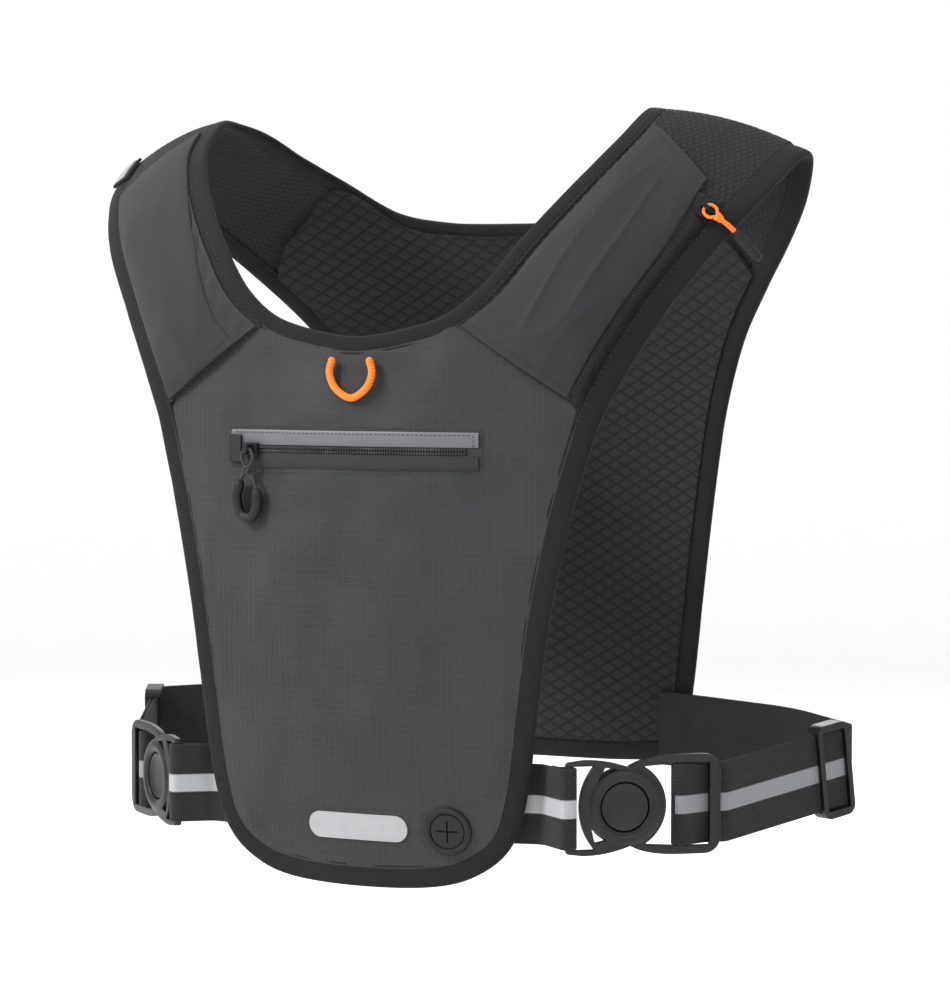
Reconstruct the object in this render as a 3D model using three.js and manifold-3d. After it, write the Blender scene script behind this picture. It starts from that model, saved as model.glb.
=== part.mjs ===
// Running vest: a short fabric vest with a front pocket panel, two shoulder pockets, a mesh-lined
// back and an elastic belt closed on each side by a round snap buckle.
// Millimetres. +Z up, the front faces -Y, +X is the wearer's left side. The origin lies midway
// between the two shoulder straps, at the height of their crests.
import * as THREE from 'three';
import { mergeVertices } from 'three/addons/utils/BufferGeometryUtils.js';
import Module from 'manifold-3d';

const wasm = await Module();
wasm.setup();

// ---------------------------------------------------------------- driving dimensions
const gap = 0.3;                  // clearance between neighbouring pieces
const clothThick = 1.4;           // outer cloth of the panels
const liningThick = 2.6;          // spacer-mesh lining
const seamRoom = 0.2;             // the panels' cloth starts this far out from the vest's surface
const layerGap = 0.7;             // between a panel's cloth and its lining
const neckBindingWidth = 9;       // bound edge round the neck
const edgeBindingWidth = 12;      // bound edge round the armholes and hems
const bindingThick = 4;           // folded binding, over both faces
const pocketPuff = 3.5;           // how far the front pocket stands out in its middle
const flapPuff = 5;               // the same for a shoulder pocket
const gussetThick = 1;            // single cloth beside a pocket flap

const chestRadius = 380;          // horizontal curve of the front panel
const chestY = -109;              // centre front, level with the bottom of the neck opening
const backRadius = 487;           // horizontal curve of the back panel
const neckDropFront = -98;        // height where the shoulder seams meet the neck binding
const hemZ = -369;                // lowest point of the front hem
const backHemZ = -331;            // lowest point of the back hem
const puffHalfWidth = 80;         // half width of the front pocket's swell
const puffBottom = -357;          // lowest and highest edge of the swell
const puffTop = -125;

const webbingWidth = 38;          // belt webbing
const webbingThick = 1.5;
const bucklePlate = 3.4;          // thickness of each buckle half
const buckleTilt = 39;            // degrees a buckle turns back from the front
const buckleCentre = new THREE.Vector3(123.5, -79, -326);
const discRadius = 11.8;          // round push disc of the buckle
const ringRadius = 18.2;          // round end of the front buckle half
const frontFrameHeight = 43;
const beltFrameHeight = 47;
const beltFrameLength = 47.5;     // from the disc's centre to the outer end
const barRadius = 1.4;            // bars that the webbing goes round
const frontBarX = -27;            // bar of the front half, from the disc's centre
const beltBarX = 27.7;            // bar of the belt half

const beltCorner = new THREE.Vector2(197, 33);   // where the belt turns back, in plan
const beltRootZ = -312;           // middle height of the belt at the back panel
const beltCornerZ = -315;         // and where it turns
const triglideLength = 21;
const triglideHeight = 46;

const zipLength = 131;            // chest zip over its stitching
const zipHeight = 18;
const zipCentreX = -2.5;
const zipZ = -161.5;
const pillLength = 52;
const pillHeight = 12.5;
const portRadius = 11.6;
const portX = 46.5;
const trimZ = -339.5;             // height of the reflective bar and the cable port

const loopWidth = 26;             // orange loop under the neck binding
const loopDrop = 21;
const loopCord = 3.5;
const pullCord = 1.6;             // thin cord of the zip pulls

const colours = {
  ripstop: [0x47484a, 0.78, 0],
  stretch: [0x3a3a3b, 0.85, 0],
  mesh: [0x2c2c2d, 0.95, 0],
  binding: [0x1f1f20, 0.92, 0],
  webbing: [0x262627, 0.9, 0],
  plastic: [0x1d1d1e, 0.45, 0],
  rubber: [0x171717, 0.6, 0],
  reflective: [0xb9babb, 0.35, 0.2],
  cord: [0xf07a1f, 0.7, 0],
  metal: [0x55565a, 0.35, 0.9],
};

// ---------------------------------------------------------------- helpers
const vec = (x, y, z) => new THREE.Vector3(x, y, z);
const lerp = (a, b, t) => a + (b - a) * t;

/** A smooth curve through points given as [x, y, z]. */
function curveThrough(points) {
  return new THREE.CatmullRomCurve3(points.map((p) => vec(...p)), false, 'centripetal');
}

/** Outward direction of a panel whose depth is a function of x and z; facing is -1 front, 1 back. */
function fieldNormal(depth, facing) {
  const step = 0.5;
  return (point) => {
    const slopeX = (depth(point.x + step, point.z) - depth(point.x - step, point.z)) / (2 * step);
    const slopeZ = (depth(point.x, point.z + step) - depth(point.x, point.z - step)) / (2 * step);
    return vec(-slopeX, 1, -slopeZ).multiplyScalar(facing).normalize();
  };
}

/** A box bent onto a surface: u and v run over it, and it fills the space between two offsets. */
function slab(surface, nu, nv, low, high, normalAt = null) {
  const geometry = new THREE.BoxGeometry(1, 1, 1, nu, nv, 1);
  const place = geometry.getAttribute('position');
  const step = 1e-3;
  for (let i = 0; i < place.count; i++) {
    const u = place.getX(i) + 0.5;
    const v = place.getY(i) + 0.5;
    const w = place.getZ(i) + 0.5;
    const u0 = Math.max(u - step, 0);
    const v0 = Math.max(v - step, 0);
    const along = surface(Math.min(u + step, 1), v).sub(surface(u0, v));
    const across = surface(u, Math.min(v + step, 1)).sub(surface(u, v0));
    const normal = normalAt ? normalAt(surface(u, v)) : along.cross(across).normalize();
    const from = typeof low === 'function' ? low(u, v) : low;
    const to = typeof high === 'function' ? high(u, v) : high;
    const point = surface(u, v).addScaledVector(normal, lerp(from, to, w));
    place.setXYZ(i, point.x, point.y, point.z);
  }
  return geometry;
}

/** The mirror image of a geometry across the centre plane. */
function mirrored(geometry) {
  const twin = geometry.index ? geometry.clone() : mergeVertices(geometry.clone());
  twin.scale(-1, 1, 1);
  const index = twin.index.array;
  for (let i = 0; i < index.length; i += 3) {
    [index[i + 1], index[i + 2]] = [index[i + 2], index[i + 1]];
  }
  return twin;
}

function toSolid(geometry) {
  const bare = geometry.clone();
  bare.deleteAttribute('normal');
  bare.deleteAttribute('uv');
  const merged = mergeVertices(bare, 1e-5);
  const index = merged.index.array;
  const faces = [];
  for (let i = 0; i < index.length; i += 3) {
    const [a, b, c] = index.subarray(i, i + 3);
    if (a !== b && b !== c && c !== a) {
      faces.push(a, b, c);
    }
  }
  return new wasm.Manifold(new wasm.Mesh({
    numProp: 3,
    vertProperties: new Float32Array(merged.getAttribute('position').array),
    triVerts: new Uint32Array(faces),
  }));
}

function toGeometry(solid) {
  const mesh = solid.getMesh();
  const geometry = new THREE.BufferGeometry();
  geometry.setAttribute('position', new THREE.BufferAttribute(mesh.vertProperties, 3));
  geometry.setIndex(new THREE.BufferAttribute(mesh.triVerts, 1));
  return geometry;
}

/** The first geometry with the others cut away. */
function cut(base, ...tools) {
  return toGeometry(tools.reduce((solid, tool) => solid.subtract(toSolid(tool)), toSolid(base)));
}

/** One geometry joined from several that overlap. */
function joined(...parts) {
  return toGeometry(parts.slice(1).reduce((solid, part) => solid.add(toSolid(part)), toSolid(parts[0])));
}

/** A box between two corners, in the local frame of a buckle or slider. */
function block(x0, x1, y0, y1, z0, z1) {
  const box = new THREE.BoxGeometry(x1 - x0, y1 - y0, z1 - z0);
  return box.translate((x0 + x1) / 2, (y0 + y1) / 2, (z0 + z1) / 2);
}

/** A flat plate from an outline, between two heights. */
function plate(shape, z0, z1, curveSegments = 6) {
  const geometry = new THREE.ExtrudeGeometry(shape, {
    depth: z1 - z0, bevelEnabled: false, curveSegments,
  });
  return geometry.translate(0, 0, z0);
}

/** A rectangle with rounded corners, centred on a point. */
function roundedRectangle(cx, cy, width, height, radius) {
  const shape = new THREE.Shape();
  const x = width / 2 - radius;
  const y = height / 2 - radius;
  shape.absarc(cx + x, cy + y, radius, 0, Math.PI / 2, false);
  shape.absarc(cx - x, cy + y, radius, Math.PI / 2, Math.PI, false);
  shape.absarc(cx - x, cy - y, radius, Math.PI, 1.5 * Math.PI, false);
  shape.absarc(cx + x, cy - y, radius, 1.5 * Math.PI, 2 * Math.PI, false);
  return shape;
}

/** A round bar or disc whose axis is local Z. */
function disc(radius, z0, z1, cx = 0, cy = 0, sides = 32) {
  const geometry = new THREE.CylinderGeometry(radius, radius, z1 - z0, sides);
  return geometry.rotateX(Math.PI / 2).translate(cx, cy, (z0 + z1) / 2);
}

/** A round cord along a curve. */
function cordAlong(curve, diameter, steps) {
  const section = new THREE.Shape();
  section.absarc(0, 0, diameter / 2, 0, 2 * Math.PI, false);
  return new THREE.ExtrudeGeometry(section, {
    steps, extrudePath: curve, bevelEnabled: false, curveSegments: 4,
  });
}

/** Webbing on edge along a plan route; heightAt gives its middle height at each point. */
function webbing(points, heightAt) {
  const half = webbingThick / 2;
  const sides = points.map((point, i) => {
    const before = points[Math.max(i - 1, 0)];
    const after = points[Math.min(i + 1, points.length - 1)];
    const into = point.clone().sub(before).normalize();
    const out = after.clone().sub(point).normalize();
    const ahead = into.clone().add(out).normalize();
    const reach = half / Math.max(ahead.dot(i === 0 ? out : into), 0.5);
    return new THREE.Vector2(-ahead.y, ahead.x).multiplyScalar(reach);
  });
  const count = points.length - 1;
  const geometry = new THREE.BoxGeometry(1, 1, 1, count, 1, 1);
  const place = geometry.getAttribute('position');
  for (let i = 0; i < place.count; i++) {
    const at = Math.round((place.getX(i) + 0.5) * count);
    const side = place.getY(i) * 2;
    const up = place.getZ(i) * webbingWidth;
    const x = points[at].x + sides[at].x * side;
    const y = points[at].y + sides[at].y * side;
    place.setXYZ(i, x, y, heightAt(points[at]) + up);
  }
  return geometry;
}

/** Geometry from a tool's local frame (x along, y up, z outward) into the vest. */
function seat(geometry, centre, degrees) {
  const angle = THREE.MathUtils.degToRad(degrees);
  const along = vec(Math.cos(angle), Math.sin(angle), 0);
  const outward = vec(Math.sin(angle), -Math.cos(angle), 0);
  const frame = new THREE.Matrix4().makeBasis(along, vec(0, 0, 1), outward).setPosition(centre);
  return geometry.clone().applyMatrix4(frame);
}

// ---------------------------------------------------------------- the assembly
const vest = new THREE.Group();

function add(name, geometry, finish) {
  const [color, roughness, metalness] = colours[finish];
  const mesh = new THREE.Mesh(geometry, new THREE.MeshStandardMaterial({ color, roughness, metalness }));
  mesh.name = name;
  vest.add(mesh);
}

/** A piece on the +X side and its mirror image on the -X side. */
function addPair(name, geometry, finish) {
  add(`${name}_left`, geometry, finish);
  add(`${name}_right`, mirrored(geometry), finish);
}

// ---------------------------------------------------------------- the vest's surface
/** Depth of the front panel at a place on it. */
function frontY(x, z) {
  const down = THREE.MathUtils.clamp((neckDropFront - z) / (neckDropFront - hemZ), 0, 1);
  return chestY - 3.5 * Math.sin(Math.PI * down) + 5 * down * down + (x * x) / (2 * chestRadius);
}
const onFront = (x, z) => vec(x, frontY(x, z), z);

/** Depth of the back panel at a place on it. */
function backY(x, z) {
  const tuck = THREE.MathUtils.clamp((-z - 250) / 80, 0, 1);
  return 112 - 110 / (1 + Math.exp((-z - 50) / 38)) - 3 * tuck * tuck - (x * x) / (2 * backRadius);
}
const onBack = (x, z) => vec(x, backY(x, z), z);

const seamNeck = onFront(45, neckDropFront);
const seamArm = onFront(118, -147);

// Strap edges from the shoulder crest down the front to the shoulder seam.
const neckFront = curveThrough([
  [115, -28, -1], [114.8, -33, -1.6], [111, -57, -16], [98, -78, -37],
  [79, -95, -63], [62, -103, -85], seamNeck.toArray(),
]);
const armFront = curveThrough([
  [186, -1, -22], [185.8, -6, -22.8], [180, -36, -40], [166, -60, -64],
  [147, -76, -93], [131, -86, -121], seamArm.toArray(),
]);

// The same edges from the crest down the back to where the back panel starts.
const neckBack = curveThrough([
  [115, -28, -1], [114.6, -23, -1.6], [106, -8, -6], [95, 14, -18], onBack(82, -30).toArray(),
]);
const armBack = curveThrough([
  [186, -1, -22], [185.7, 4, -23], [177, 20, -41], [162, 39, -60], onBack(143, -82).toArray(),
]);

/** Strap between a neck-side and an arm-side edge, arched across. Both curves start at the crest. */
function strap(neckEdge, armEdge, arch) {
  const facing = neckEdge === neckFront ? 1 : -1;
  return (millimetresIn, t) => {
    const inner = neckEdge.getPoint(t);
    const outer = armEdge.getPoint(t);
    const width = inner.distanceTo(outer);
    const across = millimetresIn < 0 ? (width + millimetresIn) / width : millimetresIn / width;
    const point = inner.lerp(outer, across);
    const lift = arch * 4 * across * (1 - across);
    const lean = Math.sin(Math.min(t * 1.2, 1) * Math.PI / 2);
    return point.add(vec(0, -facing * lift * lean, lift * (1 - lean)));
  };
}
const strapArch = 5;
const frontStrap = strap(neckFront, armFront, strapArch);
const backStrap = strap(neckBack, armBack, strapArch);

/** Part of a strap: from and to are millimetres in from the neck edge, or minus from the arm edge. */
function frontPatch(from, to, top, bottom) {
  return (u, v) => {
    const t = lerp(bottom, top, v);
    return frontStrap(from, t).lerp(frontStrap(to, t), u);
  };
}

function backPatch(from, to, top, bottom) {
  return (u, v) => {
    const t = lerp(bottom, top, v);
    return backStrap(to, t).lerp(backStrap(from, t), u);
  };
}

// ---------------------------------------------------------------- front straps
const crestGap = 0.021;           // curve share left open at the crest between front and back
const seamGap = 0.994;            // and at the shoulder seam
const neckRoom = 1.6;             // the neck binding curves away from the strap's edge by this much
const bandIn = neckBindingWidth + neckRoom;
const edgeRoom = 0.5;             // between the armhole binding and the strap's mesh
const bandOut = -(edgeBindingWidth + edgeRoom);
const meshTop = liningThick / 2;
const bindingTop = bindingThick / 2;

const frontMesh = frontPatch(bandIn, bandOut, crestGap, seamGap);
addPair('strap_mesh_front', slab(frontMesh, 6, 16, -meshTop, meshTop), 'mesh');
const armFrontBand = frontPatch(-edgeBindingWidth, -0.01, crestGap, seamGap);
addPair('armhole_binding_front', slab(armFrontBand, 2, 18, -bindingTop, bindingTop), 'binding');

/** A padded cloth flap over part of a strap. */
function flap(from, to, top, bottom) {
  const low = meshTop + gap;
  const swell = (u, v) => low + clothThick + flapPuff * Math.sin(Math.PI * u) * Math.sin(Math.PI * v);
  return slab(frontPatch(from, to, top, bottom), 8, 12, low, swell);
}
const flapTop = 0.31;
const openEdge = -18;             // arm-side edge of the zipped flap
const foldEdge = 22;              // neck-side fold of the open flap
const flapIn = bandIn + 0.5;
const flapOut = bandOut - 0.5;
const gussetTop = meshTop + gap + gussetThick;
add('pocket_flap_left', flap(flapIn, openEdge, flapTop, seamGap), 'stretch');
add('pocket_flap_right', mirrored(flap(foldEdge, flapOut, flapTop, seamGap)), 'stretch');
const gusset = (from, to, top) => slab(frontPatch(from, to, top, seamGap), 2, 12, meshTop + gap, gussetTop);
add('pocket_gusset_left', gusset(openEdge + gap, flapOut, 0.42), 'stretch');
add('pocket_gusset_right', mirrored(gusset(flapIn, foldEdge - gap, flapTop)), 'stretch');

// ---------------------------------------------------------------- front panel
const sidePoints = [
  [118, -147], [106, -190], [96.5, -235], [90, -280], [84, -322], [76, -346], [60, -360], [38, -367],
];
const sideOutline = new THREE.SplineCurve([
  ...sidePoints.map(([x, z]) => new THREE.Vector2(x, z)),
  new THREE.Vector2(0, hemZ),
  ...sidePoints.slice().reverse().map(([x, z]) => new THREE.Vector2(-x, z)),
]);

/** The band along the sides and hem: u runs from the -X side round to the +X side. */
function edgeBand(inset, width) {
  return (u, v) => {
    const t = lerp(0.003, 0.997, 1 - u);
    const point = sideOutline.getPoint(t);
    const ahead = sideOutline.getTangent(t);
    const inward = new THREE.Vector2(ahead.y, -ahead.x).multiplyScalar(inset + width * v);
    point.add(inward);
    return onFront(point.x, point.y);
  };
}
add('hem_binding_front', slab(edgeBand(0, edgeBindingWidth), 64, 1, -bindingTop, bindingTop), 'binding');

/** A line round half of the neck: down one strap, across the panel and up the other. */
function neckLine(strapPoints, panelPoints) {
  const half = [...strapPoints, ...panelPoints.slice(0, -1)];
  const twin = half.slice().reverse().map((point) => point.clone().multiply(vec(-1, 1, 1)));
  const all = [...half, panelPoints[panelPoints.length - 1], ...twin];
  return curveThrough(all.map((point) => point.toArray()));
}
const frontRows = [1, 2, 3, 4, 5].map((row) => row / 6);
const neckCurve = neckLine(
  [crestGap, ...frontRows, 1].map((t) => neckFront.getPoint(t)),
  [onFront(24, -104.5), onFront(0, -108)],
);
const neckCurveOuter = neckLine(
  [crestGap, ...frontRows].map((t) => frontStrap(neckBindingWidth, t)),
  [onFront(49, neckDropFront - 8.5), onFront(26, -113.3), onFront(0, -117)],
);
const neckBand = (u, v) => neckCurveOuter.getPoint(1 - u).lerp(neckCurve.getPoint(1 - u), v);
add('neck_binding_front', slab(neckBand, 48, 1, -bindingTop, bindingTop), 'binding');

/** A patch between four edges that meet at its corners: b, t run with u and l, r run with v. */
function patch(b, t, l, r) {
  return (u, v) => {
    const point = b(u).multiplyScalar(1 - v).addScaledVector(t(u), v);
    point.addScaledVector(l(v), 1 - u).addScaledVector(r(v), u);
    point.addScaledVector(b(0), -(1 - u) * (1 - v)).addScaledVector(b(1), -u * (1 - v));
    return point.addScaledVector(t(0), -(1 - u) * v).addScaledVector(t(1), -u * v);
  };
}

/** An outline moved inward in its own plane. */
function insetOf(outline, inset) {
  return (t) => {
    const ahead = outline.getTangent(t);
    return outline.getPoint(t).add(new THREE.Vector2(ahead.y, -ahead.x).multiplyScalar(inset));
  };
}

const panelRoom = 0.9;            // between a panel's edge and its binding
/** Surface of a panel inside its bound edge. The outline runs from +X down round the hem to -X. */
function panelInside(outline, topMiddle, from, corner) {
  const edge = insetOf(outline, edgeBindingWidth + panelRoom);
  const top = new THREE.SplineCurve([edge(1 - from), ...topMiddle, edge(from)]);
  return patch(
    (u) => edge(lerp(1 - corner, corner, u)),
    (u) => top.getPoint(u),
    (v) => edge(lerp(1 - corner, 1 - from, v)),
    (v) => edge(lerp(corner, from, v)),
  );
}

/** Points of a top edge from -X to +X, from its +X half. */
const spread = (half) => [
  ...half.map(([x, z]) => new THREE.Vector2(-x, z)),
  ...half.slice(0, -1).reverse().map(([x, z]) => new THREE.Vector2(x, z)),
];

// ---------------------------------------------------------------- front panel body
const frontInside = panelInside(
  sideOutline, spread([[76, -136], [47, -112], [24, -117.6], [0, -120]]), 0.022, 0.37);
function panelPoint(u, v) {
  const at = frontInside(u, v);
  return onFront(at.x, at.y);
}

/** How far the pocket stands out at a place on the front. */
function swell(x, z) {
  const up = THREE.MathUtils.clamp((z - puffBottom) / (puffTop - puffBottom), 0, 1);
  const across = Math.max(1 - (x / puffHalfWidth) ** 2, 0);
  return pocketPuff * 4 * up * (1 - up) * across;
}
const panelHigh = (u, v) => {
  const at = panelPoint(u, v);
  return seamRoom + clothThick + swell(at.x, at.z);
};
const frontOut = fieldNormal(frontY, -1);
add('front_panel', slab(panelPoint, 16, 12, seamRoom, panelHigh, frontOut), 'ripstop');
const liningHigh = seamRoom - layerGap;
add('front_lining', slab(panelPoint, 16, 12, liningHigh - liningThick, liningHigh, frontOut), 'mesh');

// ---------------------------------------------------------------- front trim
const panelFace = seamRoom + clothThick + gap;   // clear of the front panel's outer face

/** The front panel's face pushed out by its swell. */
const onPanel = (x, z) => vec(x, frontY(x, z) - swell(x, z), z);

/** A patch of the front panel, dx by dz about a centre. */
function panelPatch(cx, cz, dx, dz) {
  return (u, v) => onPanel(cx + (u - 0.5) * dx, cz + (v - 0.5) * dz);
}

/** A piece drawn flat (x across, y up, z outward) and laid on the front panel. */
function lay(geometry, cx, cz, base) {
  const place = geometry.getAttribute('position');
  for (let i = 0; i < place.count; i++) {
    const at = onPanel(cx + place.getX(i), cz + place.getY(i));
    place.setXYZ(i, at.x, at.y - base - place.getZ(i), at.z);
  }
  return geometry;
}

const tapeThick = 0.8;
const teethHalf = 1.6;
const teethThick = 1.1;
const tapeHeight = zipHeight / 2 - teethHalf - gap;
const tapeShift = teethHalf + gap + tapeHeight / 2;
for (const [name, side] of [['zip_tape_upper', 1], ['zip_tape_lower', -1]]) {
  const strip = panelPatch(zipCentreX, zipZ + side * tapeShift, zipLength, tapeHeight);
  add(name, slab(strip, 16, 1, panelFace, panelFace + tapeThick), 'ripstop');
}
const teeth = panelPatch(zipCentreX, zipZ, zipLength - 12, 2 * teethHalf);
add('zip_coil', slab(teeth, 16, 1, panelFace, panelFace + teethThick), 'plastic');
const garageLength = 7;
const zipStartX = zipCentreX - zipLength / 2;
const garageFace = panelFace + teethThick + gap;
const garage = panelPatch(zipStartX + garageLength / 2, zipZ, garageLength, 13);
add('zip_garage', slab(garage, 2, 1, garageFace, garageFace + 1), 'rubber');

// Sliders with a bail, and the pulls that hang in them.
const sliderX = zipStartX + garageLength + 5.5;
const sliderBase = panelFace + teethThick + gap;
const bailHeight = 3.5;           // middle of the bail's eye above the slider's underside
const zipRadius = 1 / (1 / chestRadius + 2 * swell(0, zipZ) / puffHalfWidth ** 2);
const sliderTurn = THREE.MathUtils.radToDeg(Math.atan2(sliderX, zipRadius));
const sliderSeat = onPanel(sliderX, zipZ).add(vec(0, -sliderBase, 0));

/** A zip slider on its underside, long in x, with the eye of its bail along x. */
function zipSlider() {
  const body = block(-4.5, 4.5, -2.9, 2.9, 0, 2);
  const bail = block(-1.1, 1.1, -2.1, 2.1, 1.9, 5.4);
  return cut(joined(body, bail), block(-2, 2, -1.15, 1.15, bailHeight - 1.15, bailHeight + 1.15));
}
add('zip_slider', seat(zipSlider(), sliderSeat, sliderTurn), 'metal');

/** Curve in a pull's own frame: x across, y up from the eye, z outward. */
const pullCurve = (points) => curveThrough(points.map(([x, y]) => [x, y, bailHeight]));
const pullLoopCurve = pullCurve(
  [[1.2, -8.4], [3.2, -5], [2.6, -1.2], [0, 0], [-2.6, -1.2], [-3.2, -5], [-1.2, -8.4]],
);
const pullLoop = cordAlong(pullLoopCurve, pullCord, 12);
const pullKnot = new THREE.SphereGeometry(2.7, 8, 6).translate(0, -9.6, bailHeight);
const pullLeft = cordAlong(pullCurve([[-1, -11.4], [-3.4, -13.8], [-4.6, -16.6]]), pullCord, 3);
const pullRight = cordAlong(pullCurve([[1, -11.4], [4, -15], [5.6, -20.6]]), pullCord, 3);
add('zip_pull_cord', seat(joined(pullLoop, pullKnot, pullLeft, pullRight), sliderSeat, sliderTurn), 'mesh');
const gripCurve = pullCurve(
  [[-4.8, -17], [-6.4, -24], [-3.6, -31.5], [2.4, -32.5], [5.8, -27.5], [5.9, -21]],
);
const gripThick = 5;
add('zip_pull_grip', seat(cordAlong(gripCurve, gripThick, 14), sliderSeat, sliderTurn), 'rubber');

// Zip of the left shoulder pocket, on the gusset beside the flap, with its slider and orange pull.
const coilTop = gussetTop + gap + teethThick;
const coilMiddle = openEdge + gap + 2;
const pocketTeeth = frontPatch(coilMiddle - 1.7, coilMiddle + 1.7, 0.43, 0.97);
add('pocket_coil', slab(pocketTeeth, 1, 14, gussetTop + gap, coilTop), 'plastic');

/** A place over the front strap as a frame: x up the strap, y away from the arm, z outward. */
function onStrap(millimetresIn, t, height) {
  const step = 0.01;
  const up = frontStrap(millimetresIn, t - step).sub(frontStrap(millimetresIn, t + step)).normalize();
  const side = frontStrap(millimetresIn + 1, t).sub(frontStrap(millimetresIn - 1, t));
  const outward = side.cross(up).normalize();
  const at = frontStrap(millimetresIn, t).addScaledVector(outward, height);
  return new THREE.Matrix4().makeBasis(up, outward.clone().cross(up), outward).setPosition(at);
}
const pocketSliderShare = 0.46;   // place of the slider down the strap
const pocketFrame = onStrap(coilMiddle, pocketSliderShare, coilTop + gap);
add('pocket_slider', zipSlider().applyMatrix4(pocketFrame), 'metal');
const pocketLoopCurve = pullCurve(
  [[1, -6.4], [3, -4.2], [2.6, -1.2], [0, 0], [-2.6, -1.2], [-3, -4.2], [-1, -6.4]],
);
const pocketLoop = cordAlong(pocketLoopCurve, pullCord, 12);
const pocketKnot = new THREE.SphereGeometry(2.2, 8, 6).translate(0, -7.8, bailHeight);
const pocketCordCurve = curveThrough([[0, -9.2, 3.3], [0.6, -14, 2], [1, -17.8, 0.2]]);
const pocketCord = cordAlong(pocketCordCurve, pullCord + 0.6, 4);
add('pocket_pull_cord', joined(pocketLoop, pocketKnot, pocketCord).applyMatrix4(pocketFrame), 'cord');
const pocketTipCurve = curveThrough([[1, -18.3, -0.1], [1.4, -25, -3.4], [1.2, -32, -6.4]]);
add('pocket_pull_tip', cordAlong(pocketTipCurve, gripThick, 4).applyMatrix4(pocketFrame), 'rubber');

/** Outline of the reflective bar, as a surface on the panel. */
function pillPoint(u, v) {
  const round = pillHeight / 2;
  const x = (-pillLength / 2 + 0.05) * Math.cos(Math.PI * u);
  const over = Math.max(Math.abs(x) - (pillLength / 2 - round), 0) / round;
  return onPanel(x, trimZ + (v - 0.5) * pillHeight * Math.sqrt(1 - over * over));
}
add('reflective_bar', slab(pillPoint, 20, 2, panelFace, panelFace + 0.5), 'reflective');

const portInner = portRadius - 3.2;
const portRing = cut(disc(portRadius, 0, 2.2), disc(portInner, -1, 4));
add('port_ring', lay(portRing, portX, trimZ, panelFace), 'rubber');
const slit = 5.2;
const portSlits = joined(block(-slit, slit, -0.4, 0.4, -1, 3), block(-0.4, 0.4, -slit, slit, -1, 3));
const diaphragm = cut(disc(portInner - gap, 0, 1.3), portSlits);
add('port_diaphragm', lay(diaphragm, portX, trimZ, panelFace), 'rubber');

// Orange loop that hangs from the neck binding.
const loopZ = -119.3;
const loopOut = 5.3;
const loopY = frontY(0, loopZ) - loopOut;
const loopHalf = (loopWidth - loopCord) / 2;
const loopPoint = (x, down) => [x, loopY, loopZ - down];
const loopCurve = curveThrough([
  loopPoint(-loopHalf + 1.2, 0), loopPoint(-loopHalf, 5.5), loopPoint(-loopHalf + 2.8, 12.5),
  loopPoint(0, loopDrop - loopCord), loopPoint(loopHalf - 2.8, 12.5), loopPoint(loopHalf, 5.5),
  loopPoint(loopHalf - 1.2, 0),
]);
const loopEnds = [-1, 1].map((side) => new THREE.SphereGeometry(loopCord / 2, 8, 6)
  .translate(side * (loopHalf - 1.2), loopY, loopZ));
add('neck_loop', joined(cordAlong(loopCurve, loopCord, 16), ...loopEnds), 'cord');

// Reflective tab at the top of the right arm edge.
const tabBase = bindingTop + gap;
const tabTop = tabBase + 1.2;
add('tab_webbing', mirrored(slab(frontPatch(-14, -1, 0.2, 0.29), 2, 2, tabBase, tabTop)), 'webbing');
const tabFace = tabTop + gap;
const tabShine = mirrored(slab(frontPatch(-11, -3, 0.205, 0.285), 2, 2, tabFace, tabFace + 0.5));
add('tab_reflector', tabShine, 'reflective');

// ---------------------------------------------------------------- back
const backMesh = backPatch(bandIn, bandOut, crestGap, seamGap);
addPair('strap_mesh_back', slab(backMesh, 6, 8, -meshTop, meshTop), 'mesh');
const armBackBand = backPatch(-edgeBindingWidth, -0.01, crestGap, seamGap);
addPair('armhole_binding_back', slab(armBackBand, 2, 8, -bindingTop, bindingTop), 'binding');

const backSide = [
  [143, -82], [122, -110], [107, -145], [98, -185], [90.5, -235], [84, -290], [80, -313], [66, -328],
];
const backOutline = new THREE.SplineCurve([
  ...backSide.map(([x, z]) => new THREE.Vector2(x, z)),
  new THREE.Vector2(0, backHemZ),
  ...backSide.slice().reverse().map(([x, z]) => new THREE.Vector2(-x, z)),
]);
function backBand(u, v) {
  const t = lerp(0.003, 0.997, u);
  const point = backOutline.getPoint(t);
  const ahead = backOutline.getTangent(t);
  point.add(new THREE.Vector2(ahead.y, -ahead.x).multiplyScalar(edgeBindingWidth * v));
  return onBack(point.x, point.y);
}
add('hem_binding_back', slab(backBand, 64, 1, -bindingTop, bindingTop), 'binding');

const strapRows = [crestGap, 0.25, 0.5, 0.75, 1];
const neckBackCurve = neckLine(
  strapRows.map((t) => neckBack.getPoint(t)),
  [onBack(60, -45), onBack(34, -50), onBack(0, -51)],
);
const neckBackOuter = neckLine(
  strapRows.map((t) => backStrap(neckBindingWidth, t)),
  [onBack(56, -53.6), onBack(32, -58.8), onBack(0, -60)],
);
const neckBackBand = (u, v) => neckBackOuter.getPoint(u).lerp(neckBackCurve.getPoint(u), v);
add('neck_binding_back', slab(neckBackBand, 40, 1, -bindingTop, bindingTop), 'binding');

const backInside = panelInside(
  backOutline, spread([[111, -62], [91, -45], [60, -56], [34, -60.6], [0, -62]]), 0.014, 0.4);
/** The back panel, u from +X to -X so that it faces backward. */
function backPoint(u, v) {
  const at = backInside(1 - u, v);
  return onBack(at.x, at.y);
}
const backOut = fieldNormal(backY, 1);
add('back_panel', slab(backPoint, 16, 12, seamRoom, seamRoom + clothThick, backOut), 'stretch');
add('back_lining', slab(backPoint, 16, 12, liningHigh - liningThick, liningHigh, backOut), 'mesh');

// ---------------------------------------------------------------- belt and buckles
const tilt = THREE.MathUtils.degToRad(buckleTilt);
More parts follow.
